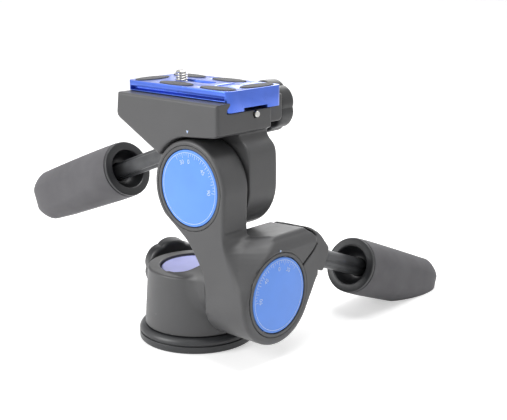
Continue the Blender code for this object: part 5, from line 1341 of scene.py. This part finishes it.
def make_pan_knob():
    """The pan brake's knob and its screw."""
    hub_start = KNOB_BOSS_REACH + FIT
    start = hub_start + KNOB_HUB_LENGTH
    bore_end = start + PAN_KNOB_THICKNESS * KNOB_BORE_SHARE
    knob = make_knob("pan_knob_lobed", PAN_KNOB_RADIUS, hub_start, start,
                     start + PAN_KNOB_THICKNESS, KNOB_SCREW_RADIUS + FIT, bore_end,
                     PAN_KNOB_FRAME)
    settle(knob, "pan_knob_body", "plastic", "pan_knob")
    screw = make_screw("pan_knob_screw_thread", KNOB_SCREW_RADIUS, KNOB_SCREW_START,
                       bore_end - FIT, KNOB_SCREW_PITCH, PAN_KNOB_FRAME)
    settle(screw, "pan_knob_body", "steel", "pan_knob_screw")


# Handles

def make_rod(prefix, place, body):
    """A rod with three long round-bottomed grooves, on a threaded stud."""
    steps = 144
    turns = np.arange(steps) * math.tau / steps
    wave = np.clip(np.cos(ROD_FLUTES * turns), 0, 1) ** 4
    section = ROD_RADIUS - ROD_FLUTE_DEPTH * wave
    end = GRIP_START + FUNNEL_LENGTH
    rows = [(0, STUD_START), (STUD_RADIUS - SCREW_CHAMFER, STUD_START)]
    rows += thread_rows(STUD_RADIUS, STUD_START + SCREW_CHAMFER, STUD_SEAT, STUD_PITCH,
                        SCREW_THREAD_DEPTH)
    rows += [(STUD_RADIUS, ROD_SHOULDER), (section - 0.3, ROD_SHOULDER),
             (section, ROD_SHOULDER + 0.3)]
    rows += [(section, height) for height in np.linspace(ROD_SHOULDER, end, 9)[1:-1]]
    rows += [(section, end - 0.3), (section - 0.3, end), (0, end)]
    rod = lathe(prefix + "_rod_fluted", rows, place, steps, STUD_PITCH)
    settle(rod, body, "rod", prefix + "_handle_rod")


def grip_radius(share):
    """Return the grip's radius before its flats, by its share of the length."""
    bulge = 1 + GRIP_BULGE * math.sin(math.pi * min(1, share)) ** 1.2
    if share <= GRIP_DOME_START:
        return GRIP_RADIUS * bulge
    bulge = 1 + GRIP_BULGE * math.sin(math.pi * GRIP_DOME_START) ** 1.2
    past = (share - GRIP_DOME_START) / (1 - GRIP_DOME_START)
    return GRIP_RADIUS * bulge * max(0, 1 - past ** 2.2) ** (1 / 2.2)


def make_grip(prefix, place, body):
    """A rubber grip: round in front, with four petal flats that meet its domed end."""
    steps = 144
    turns = np.arange(steps) * math.tau / steps
    nearest = (turns + math.pi / 4) % (math.pi / 2) - math.pi / 4
    start = GRIP_START + GRIP_WALL_START
    length = GRIP_LENGTH - GRIP_WALL_START
    outer = []
    shares = list(np.linspace(0, GRIP_DOME_START, 52))
    shares += list(1 - GRIP_DOME_SHARE * (1 - np.linspace(0, 1, 27)[1:]) ** 1.6)
    for share in shares[:-1]:
        radius = grip_radius(share)
        opened = min(1, max(0, (share - 0.1) / 0.62))
        flat = radius * (1 - GRIP_FLAT_DEPTH * opened * (2 - opened)) / np.cos(nearest)
        soft = 0.35
        gap = np.clip(0.5 + 0.5 * (flat - radius) / soft, 0, 1)
        reach = flat * (1 - gap) + radius * gap - soft * gap * (1 - gap)
        if share == 0:
            outer.append((reach - 0.4, start))
            outer.append((reach - 0.1, start + 0.12))
            outer.append((reach, start + 0.45))
            continue
        if share * length < 0.6:
            continue
        outer.append((reach, start + share * length))
    end = start + length
    outer.append((0, end))
    mouth_end = GRIP_START + FUNNEL_BODY_LENGTH + FIT
    neck_end = GRIP_START + FUNNEL_LENGTH + FIT
    stop_end = neck_end + ROD_STOP_LENGTH + GRIP_TRAVEL + FIT
    rows = [(0, stop_end), (ROD_STOP_RADIUS + FIT, stop_end), (ROD_STOP_RADIUS + FIT, neck_end),
            (FUNNEL_NECK_RADIUS + FIT, neck_end), (FUNNEL_NECK_RADIUS + FIT, mouth_end),
            (FUNNEL_BODY_RADIUS + FIT, mouth_end), (FUNNEL_BODY_RADIUS + FIT, start)] + outer
    grip = lathe(prefix + "_grip_rubber", rows, place, steps)
    settle(grip, body, "grip", prefix + "_grip")


def make_funnel(prefix, place, body):
    """The moulded insert in the grip's mouth: a flat ring round a deep bowl."""
    front, bore = GRIP_START, ROD_RADIUS + FIT
    flange = GRIP_RADIUS - FIT
    deep = FUNNEL_MOUTH_RADIUS - bore
    bowl = front + FUNNEL_BOWL_DEPTH
    rows = [(bore, front + FUNNEL_LENGTH), (bore, bowl + 0.5), (bore + 0.1, bowl)]
    rows += [(bore + deep * math.sin(turn), bowl - FUNNEL_BOWL_DEPTH * (1 - math.cos(turn)))
             for turn in np.linspace(0.12, math.pi / 2 * 0.97, 22)]
    rows += [(FUNNEL_MOUTH_RADIUS + 0.35, front + 0.08), (FUNNEL_MOUTH_RADIUS + 0.7, front)]
    rows += [(flange - 0.5 + 0.5 * math.sin(turn), front + 0.5 * (1 - math.cos(turn)))
             for turn in np.linspace(0, math.pi / 2, 6)]
    rows += [(flange, front + FUNNEL_FLANGE - 0.2), (flange - 0.2, front + FUNNEL_FLANGE),
             (FUNNEL_BODY_RADIUS, front + FUNNEL_FLANGE),
             (FUNNEL_BODY_RADIUS, front + FUNNEL_BODY_LENGTH),
             (FUNNEL_NECK_RADIUS, front + FUNNEL_BODY_LENGTH),
             (FUNNEL_NECK_RADIUS, front + FUNNEL_LENGTH)]
    settle(lathe(prefix + "_funnel_moulded", rows, place), body, "plastic",
           prefix + "_grip_funnel")


# Plate

def rounded_rectangle(left, bottom, right, top, corner, steps=10):
    """Return a rectangle with round corners."""
    return (arc((right - corner, bottom + corner), corner, -90, 0, steps)
            + arc((right - corner, top - corner), corner, 0, 90, steps)
            + arc((left + corner, top - corner), corner, 90, 180, steps)
            + arc((left + corner, bottom + corner), corner, 180, 270, steps))


def oval(x, y, long_x, wide_y, steps=72):
    """Return an oval round a middle."""
    turns = [math.tau * step / steps for step in range(steps)]
    return [(x + math.cos(turn) * long_x / 2, y + math.sin(turn) * wide_y / 2) for turn in turns]


def slot_outline(start, end, width, steps=14):
    """Return a slot with round ends between two middles that share an x or a y."""
    if start[1] == end[1]:
        return arc(end, width / 2, -90, 90, steps) + arc(start, width / 2, 90, 270, steps)
    return arc(end, width / 2, 0, 180, steps) + arc(start, width / 2, 180, 360, steps)


def pad_places():
    """Return each pad's name, middle and size along X and Y."""
    places = []
    for names, side in ((("left_end", "left_back", "left_front"), -1),
                        (("right_end", "right_front", "right_back"), 1)):
        middles = ((29.3, 6.8), (22.8, -13.2), (5.2, 13.2))
        sizes = ((PAD_WIDE, PAD_LONG), (PAD_LONG, PAD_WIDE), (PAD_LONG, PAD_WIDE))
        for name, (x, y), (long_x, wide_y) in zip(names, middles, sizes):
            places.append(("pad_" + name, PLATE_X + side * x, PLATE_Y + side * y, long_x, wide_y))
    return places


def make_plate():
    """The dovetail plate: milled flanks, grooves, channel, slot and pad pockets."""
    left, right = PLATE_X - PLATE_LENGTH / 2, PLATE_X + PLATE_LENGTH / 2
    front, back = PLATE_Y - PLATE_WIDTH / 2, PLATE_Y + PLATE_WIDTH / 2
    bottom, top = PLATE_BOTTOM, PLATE_TOP
    plate = prism("release_plate_milled", rounded_rectangle(left, front, right, back,
                                                            PLATE_CORNER), bottom, top)
    half, outer = PLATE_WIDTH / 2, PLATE_WIDTH / 2 + OVERRUN
    flank = [(outer, FLANK_START), (half, FLANK_START), (half - FLANK_RUN, FLANK_START + FLANK_RUN),
             (half - FLANK_RUN, 5.0), (half - 1.4, 5.0), (outer, 5.0)]
    groove = [(outer, 5.5), (half - 1.4, 5.5), (half - 3.2, 6.0), (half - 3.2, 7.0), (half, 7.5),
              (outer, 7.5)]
    for side in (-1, 1):
        shaped = [(PLATE_Y + side * w, bottom + h) for w, h in flank]
        carve(plate, prism("flank", shaped, left - OVERRUN, right - PLATE_END_WALL, SIDE_FRAME))
        shaped = [(PLATE_Y + side * w, bottom + h) for w, h in groove]
        carve(plate, prism("groove", shaped, left + PLATE_GROOVE_END, right - PLATE_GROOVE_END,
                           SIDE_FRAME))
    for end, depth in ((CHANNEL_STEP, CHANNEL_DEPTH), (right + OVERRUN, CHANNEL_END_DEPTH)):
        carve(plate, prism("channel", [(CHANNEL_START, PLATE_Y - CHANNEL_WIDTH / 2),
                                       (end, PLATE_Y - CHANNEL_WIDTH / 2),
                                       (end, PLATE_Y + CHANNEL_WIDTH / 2),
                                       (CHANNEL_START, PLATE_Y + CHANNEL_WIDTH / 2)],
                           bottom - OVERRUN, bottom + depth))
    slot = prism("slot", slot_outline((SLOT_START, PLATE_Y), (SLOT_END, PLATE_Y), SLOT_WIDTH),
                 bottom, top + OVERRUN)
    reach = (CROSS_LENGTH - CROSS_WIDTH) / 2
    cross = prism("cross", slot_outline((CROSS_X, PLATE_Y - reach), (CROSS_X, PLATE_Y + reach),
                                        CROSS_WIDTH), top - CROSS_DEPTH, top + OVERRUN)
    carve(plate, slot, cross)
    for _, x, y, long_x, wide_y in pad_places():
        carve(plate, prism("pocket", oval(x, y, long_x + 2 * FIT, wide_y + 2 * FIT),
                           top - PAD_POCKET_DEPTH, top + OVERRUN))
    for side in (-1, 1):
        way = [(0, bottom - OVERRUN), (STOP_SCREW_RADIUS + FIT, bottom - OVERRUN),
               (STOP_SCREW_RADIUS + FIT, bottom + STOP_SCREW_LENGTH + FIT),
               (0, bottom + STOP_SCREW_LENGTH + FIT)]
        carve(plate, lathe("screw_way", way, stop_screw_frame(side), SMALL_ROUND_STEPS))
    settle(break_edges(plate, 0.22), "plate_body", "plate", "release_plate")


def stop_screw_frame(side):
    """Return the frame of a stop screw under the plate."""
    return Matrix.Translation((PLATE_X + side * STOP_SCREW_X, PLATE_Y + side * STOP_SCREW_Y, 0))


def make_pads():
    """Six ribbed rubber pads with soft edges, and the plate's stop screws."""
    low, top = PLATE_TOP - PAD_POCKET_DEPTH + FIT, PLATE_TOP + PAD_PROUD
    for name, x, y, long_x, wide_y in pad_places():
        steps = 96
        turns = np.arange(steps) * math.tau / steps
        points, faces = [], []
        rings = [(0.0, low), (0.0, top - 0.25), (0.08, top - 0.08), (0.25, top), (1.2, top)]
        for inset, height in rings:
            points += list(zip(x + (long_x / 2 - inset) * np.cos(turns),
                               y + (wide_y / 2 - inset) * np.sin(turns), [height] * steps))
        for ring in range(len(rings) - 1):
            base = ring * steps
            faces += [(base + step, base + (step + 1) % steps,
                       base + steps + (step + 1) % steps, base + steps + step)
                      for step in range(steps)]
        faces += [tuple(range(steps)), tuple(range(len(points) - steps, len(points)))]
        settle(mesh_object(name + "_rubber", points, faces), "plate_body", "pad", name)
    for side, node in ((-1, "stop_screw_left"), (1, "stop_screw_right")):
        rows = [(0, PLATE_BOTTOM + 1.2), (0.9, PLATE_BOTTOM + 1.2), (0.9, PLATE_BOTTOM),
                (STOP_SCREW_RADIUS - 0.2, PLATE_BOTTOM), (STOP_SCREW_RADIUS, PLATE_BOTTOM + 0.2),
                (STOP_SCREW_RADIUS, PLATE_BOTTOM + STOP_SCREW_LENGTH),
                (0, PLATE_BOTTOM + STOP_SCREW_LENGTH)]
        screw = lathe(node + "_socket_head", rows, stop_screw_frame(side), SMALL_ROUND_STEPS)
        settle(screw, "plate_body", "steel", node)


def make_camera_screw():
    """The quarter inch camera screw: slotted head below, thread above the plate."""
    place = Matrix.Translation((SLOT_START, PLATE_Y, 0))
    head, top = CAMERA_HEAD_RADIUS, CAMERA_SCREW_TOP
    rows = [(0, CAMERA_HEAD_LOW), (head - 0.3, CAMERA_HEAD_LOW), (head, CAMERA_HEAD_LOW + 0.3),
            (head, CAMERA_HEAD_TOP - 0.3), (head - 0.3, CAMERA_HEAD_TOP),
            (CAMERA_SCREW_RADIUS - 0.35, CAMERA_HEAD_TOP)]
    rows += thread_rows(CAMERA_SCREW_RADIUS, CAMERA_HEAD_TOP + 4, top - 0.7, CAMERA_SCREW_PITCH,
                        0.62)
    rows += [(CAMERA_SCREW_RADIUS - 0.75, top - 0.1), (CAMERA_SCREW_RADIUS - 0.95, top), (0, top)]
    screw = lathe("camera_screw_thread", rows, place, 96, CAMERA_SCREW_PITCH)
    slot = prism("coin_slot", [(-9, -0.8), (9, -0.8), (9, 0.8), (-9, 0.8)], CAMERA_HEAD_LOW - 3,
                 CAMERA_HEAD_LOW + 1.0, place)
    carve(screw, slot)
    shade(screw)
    settle(screw, "camera_screw_body", "steel", "camera_screw")


# Inner pieces that stay as the frame has them

CARRIED = {
    "steel": ("pan_spindle", "tilt_shaft", "tilt_retainer", "tilt_shaft_bolt", "roll_shaft",
              "roll_shaft_bolt", "roll_retainer", "roll_retainer_screw", "tilt_rod_washer",
              "tilt_rod_stop", "roll_rod_washer", "roll_rod_stop", "jaw_guide_pin_left",
              "jaw_guide_pin_right", "jaw_spring", "screw_washer"),
    "brass": ("pan_brake_shoe",),
    "acetal": ("pan_bearing_washer", "tilt_sleeve", "roll_sleeve"),
}


def dress_inner_pieces():
    """Give the shafts, bushes and fasteners inside the head their finishes."""
    for look_name, names in CARRIED.items():
        for name in names:
            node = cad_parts[name]
            for slot in node.material_slots:
                slot.material = look(look_name)


# Stage

def stage_material(name, colour, seen_colour):
    """A matt paper that looks white to the camera and keeps the shadow on it."""
    made, tree, shader, place = new_material(name, Roughness=0.9, Specular_IOR_Level=0.1)
    vary_colour(tree, shader, grain(tree, place, 60), shade_of(linear(colour), 0.99),
                linear(colour))
    path = add_node(tree, "ShaderNodeLightPath")
    glow = add_node(tree, "ShaderNodeEmission", {"Color": (*linear(seen_colour), 1),
                                                 "Strength": 0.5})
    clear = add_node(tree, "ShaderNodeMath", None, {0: path.outputs["Is Camera Ray"],
                                                    1: path.outputs["Is Glossy Ray"]},
                     operation="MAXIMUM")
    off = add_node(tree, "ShaderNodeEmission", {"Strength": 0.0})
    mixed = add_node(tree, "ShaderNodeMixShader", None, {0: clear.outputs[0],
                                                         1: off.outputs[0], 2: glow.outputs[0]})
    total = add_node(tree, "ShaderNodeAddShader", None, {0: shader.outputs[0],
                                                         1: mixed.outputs[0]})
    tree.links.new(total.outputs[0], tree.nodes["Material Output"].inputs["Surface"])
    return made


def make_stage():
    """Pale floor that curves up into a backdrop, soft lights and the camera."""
    profile = [(-900, 0)] + [(x, z) for x, z in arc((700, 500), 500, -90, 0, 24)] + [(1200, 1600)]
    width = 2400
    points = [(side * width, y, z) for side in (-1, 1) for y, z in profile]
    count = len(profile)
    faces = [(index, index + 1, count + index + 1, count + index) for index in range(count - 1)]
    turn = Matrix.Rotation(math.radians(CAMERA_TURN[2]), 4, "Z")
    floor = mesh_object("floor_sweep", points, faces, turn @ Matrix.Translation((0, 0, -FLOOR_DROP)),
                        smooth=False)
    floor.data.shade_smooth()
    floor.data.materials.append(stage_material("matt_white_paper", "#F4F4F4", "#FFFFFF"))
    world = bpy.data.worlds.new("studio")
    world.use_nodes = True
    bpy.context.scene.world = world
    tree = world.node_tree
    back = tree.nodes["Background"]
    back.inputs["Color"].default_value = (*linear("#FFFFFF"), 1)
    back.inputs["Strength"].default_value = 0.3
    seen = add_node(tree, "ShaderNodeBackground", {"Color": (1, 1, 1, 1), "Strength": 1.0})
    path = add_node(tree, "ShaderNodeLightPath")
    clear = add_node(tree, "ShaderNodeMath", None, {0: path.outputs["Is Camera Ray"],
                                                    1: path.outputs["Is Glossy Ray"]},
                     operation="MAXIMUM")
    mixed = add_node(tree, "ShaderNodeMixShader", None,
                     {0: clear.outputs[0], 1: back.outputs[0], 2: seen.outputs[0]})
    tree.links.new(mixed.outputs[0], tree.nodes["World Output"].inputs["Surface"])
    for light in LIGHTS:
        add_light(*light)
    make_camera()


def add_light(name, place, size, watts):
    """Add one square softbox aimed at the head."""
    data = bpy.data.lights.new(name, "AREA")
    data.shape = "SQUARE"
    data.size = size * MM
    data.energy = watts
    made = bpy.data.objects.new(name, data)
    made.location = Vector(place) * MM
    aim = Vector(LIGHT_AIM) * MM - made.location
    made.rotation_euler = aim.to_track_quat("-Z", "Y").to_euler()
    bpy.context.scene.collection.objects.link(made)


def make_camera():
    """The photograph's camera."""
    data = bpy.data.cameras.new("photo_camera")
    data.lens = CAMERA_LENS
    data.sensor_width = CAMERA_SENSOR
    data.clip_start = 0.01
    made = bpy.data.objects.new("photo_camera", data)
    made.location = Vector(CAMERA_PLACE) * MM
    made.rotation_euler = Euler([math.radians(turn) for turn in CAMERA_TURN])
    bpy.context.scene.collection.objects.link(made)
    bpy.context.scene.camera = made
    bpy.context.scene.view_settings.view_transform = "Standard"


# Add-on

class HEAD_PG_finishes(bpy.types.PropertyGroup):
    """Colours and grain sizes of the head's finishes."""
    casting_colour: FloatVectorProperty(
        name="Casting colour", description="Powder coat on the castings", subtype="COLOR",
        default=linear("#4F4F50"), min=0, max=1)
    plate_colour: FloatVectorProperty(
        name="Plate colour", description="Anodised colour of the camera plate", subtype="COLOR",
        default=linear("#4A6FD8"), min=0, max=1)
    dial_colour: FloatVectorProperty(
        name="Dial colour", description="Printed colour of the angle dials", subtype="COLOR",
        default=linear("#609CFF"), min=0, max=1)
    grip_colour: FloatVectorProperty(
        name="Grip colour", description="Rubber of the grips", subtype="COLOR",
        default=linear("#5B5A5D"), min=0, max=1)
    plastic_colour: FloatVectorProperty(
        name="Plastic colour", description="Knobs, end cap and funnels", subtype="COLOR",
        default=linear("#242527"), min=0, max=1)
    coat_grain: FloatProperty(
        name="Coat grain", description="Width of the powder coat's orange peel", unit="LENGTH",
        default=0.7 * MM, min=0.1 * MM, max=3 * MM, precision=5)
    rubber_grain: FloatProperty(
        name="Rubber grain", description="Width of the moulded grain on the grips",
        unit="LENGTH", default=0.5 * MM, min=0.1 * MM, max=3 * MM, precision=5)


class HEAD_OT_base(bpy.types.Operator):
    """Build the base flange and the tripod socket"""
    bl_idname = "pan_head.base"
    bl_label = "Base"

    def execute(self, context):
        make_base()
        return {"FINISHED"}


class HEAD_OT_turret(bpy.types.Operator):
    """Build the turning turret with its pan dial and pan knob"""
    bl_idname = "pan_head.turret"
    bl_label = "Turret"

    def execute(self, context):
        make_turret()
        make_pan_knob()
        return {"FINISHED"}


class HEAD_OT_arm(bpy.types.Operator):
    """Build the arm casting"""
    bl_idname = "pan_head.arm"
    bl_label = "Arm"

    def execute(self, context):
        make_arm()
        return {"FINISHED"}


class HEAD_OT_dials(bpy.types.Operator):
    """Build the tilt and roll dials with their scales"""
    bl_idname = "pan_head.dials"
    bl_label = "Dials"

    def execute(self, context):
        make_dials()
        return {"FINISHED"}


class HEAD_OT_platform(bpy.types.Operator):
    """Build the platform casting and its end cap"""
    bl_idname = "pan_head.platform"
    bl_label = "Platform"

    def execute(self, context):
        make_platform()
        return {"FINISHED"}


class HEAD_OT_jaw(bpy.types.Operator):
    """Build the moving jaw and its knob"""
    bl_idname = "pan_head.jaw"
    bl_label = "Jaw and knob"

    def execute(self, context):
        make_jaw()
        return {"FINISHED"}


class HEAD_OT_handles(bpy.types.Operator):
    """Build both handles with their grips"""
    bl_idname = "pan_head.handles"
    bl_label = "Handles"

    def execute(self, context):
        for prefix, place in (("tilt", TILT_ROD), ("roll", ROLL_ROD)):
            make_rod(prefix, place, prefix + "_handle_body")
            make_grip(prefix, place, prefix + "_grip_body")
            make_funnel(prefix, place, prefix + "_grip_body")
        return {"FINISHED"}


class HEAD_OT_plate(bpy.types.Operator):
    """Build the dovetail plate with its pads and screws"""
    bl_idname = "pan_head.plate"
    bl_label = "Camera plate"

    def execute(self, context):
        make_plate()
        make_pads()
        make_camera_screw()
        return {"FINISHED"}


class HEAD_OT_inner(bpy.types.Operator):
    """Give the inner shafts, bushes and fasteners their finishes"""
    bl_idname = "pan_head.inner"
    bl_label = "Inner pieces"

    def execute(self, context):
        dress_inner_pieces()
        return {"FINISHED"}


class HEAD_OT_stage(bpy.types.Operator):
    """Set up the floor, the lights and the camera"""
    bl_idname = "pan_head.stage"
    bl_label = "Stage"

    def execute(self, context):
        make_stage()
        return {"FINISHED"}


OPERATORS = (HEAD_OT_base, HEAD_OT_turret, HEAD_OT_arm, HEAD_OT_dials, HEAD_OT_platform,
             HEAD_OT_jaw, HEAD_OT_handles, HEAD_OT_plate, HEAD_OT_inner, HEAD_OT_stage)


class HEAD_PT_panel(bpy.types.Panel):
    """Lists the head's pieces and finishes"""
    bl_idname = "HEAD_PT_panel"
    bl_label = "Pan Tilt Head"
    bl_space_type = "VIEW_3D"
    bl_region_type = "UI"
    bl_category = "Pan Head"

    def draw(self, context):
        finishes = context.scene.head_finishes
        for name in finishes.__annotations__:
            self.layout.prop(finishes, name)
        for operator in OPERATORS:
            self.layout.operator(operator.bl_idname)


def register():
    """Register the add-on's classes."""
    for item in (HEAD_PG_finishes, *OPERATORS, HEAD_PT_panel):
        bpy.utils.register_class(item)
    bpy.types.Scene.head_finishes = PointerProperty(type=HEAD_PG_finishes)


def unregister():
    """Take the add-on's classes away again."""
    del bpy.types.Scene.head_finishes
    for item in reversed((HEAD_PG_finishes, *OPERATORS, HEAD_PT_panel)):
        bpy.utils.unregister_class(item)


def main():
    """Build every piece round the frame."""
    register()
    for operator in OPERATORS:
        group, name = operator.bl_idname.split(".")
        getattr(getattr(bpy.ops, group), name)()


if __name__ == "__main__":
    main()
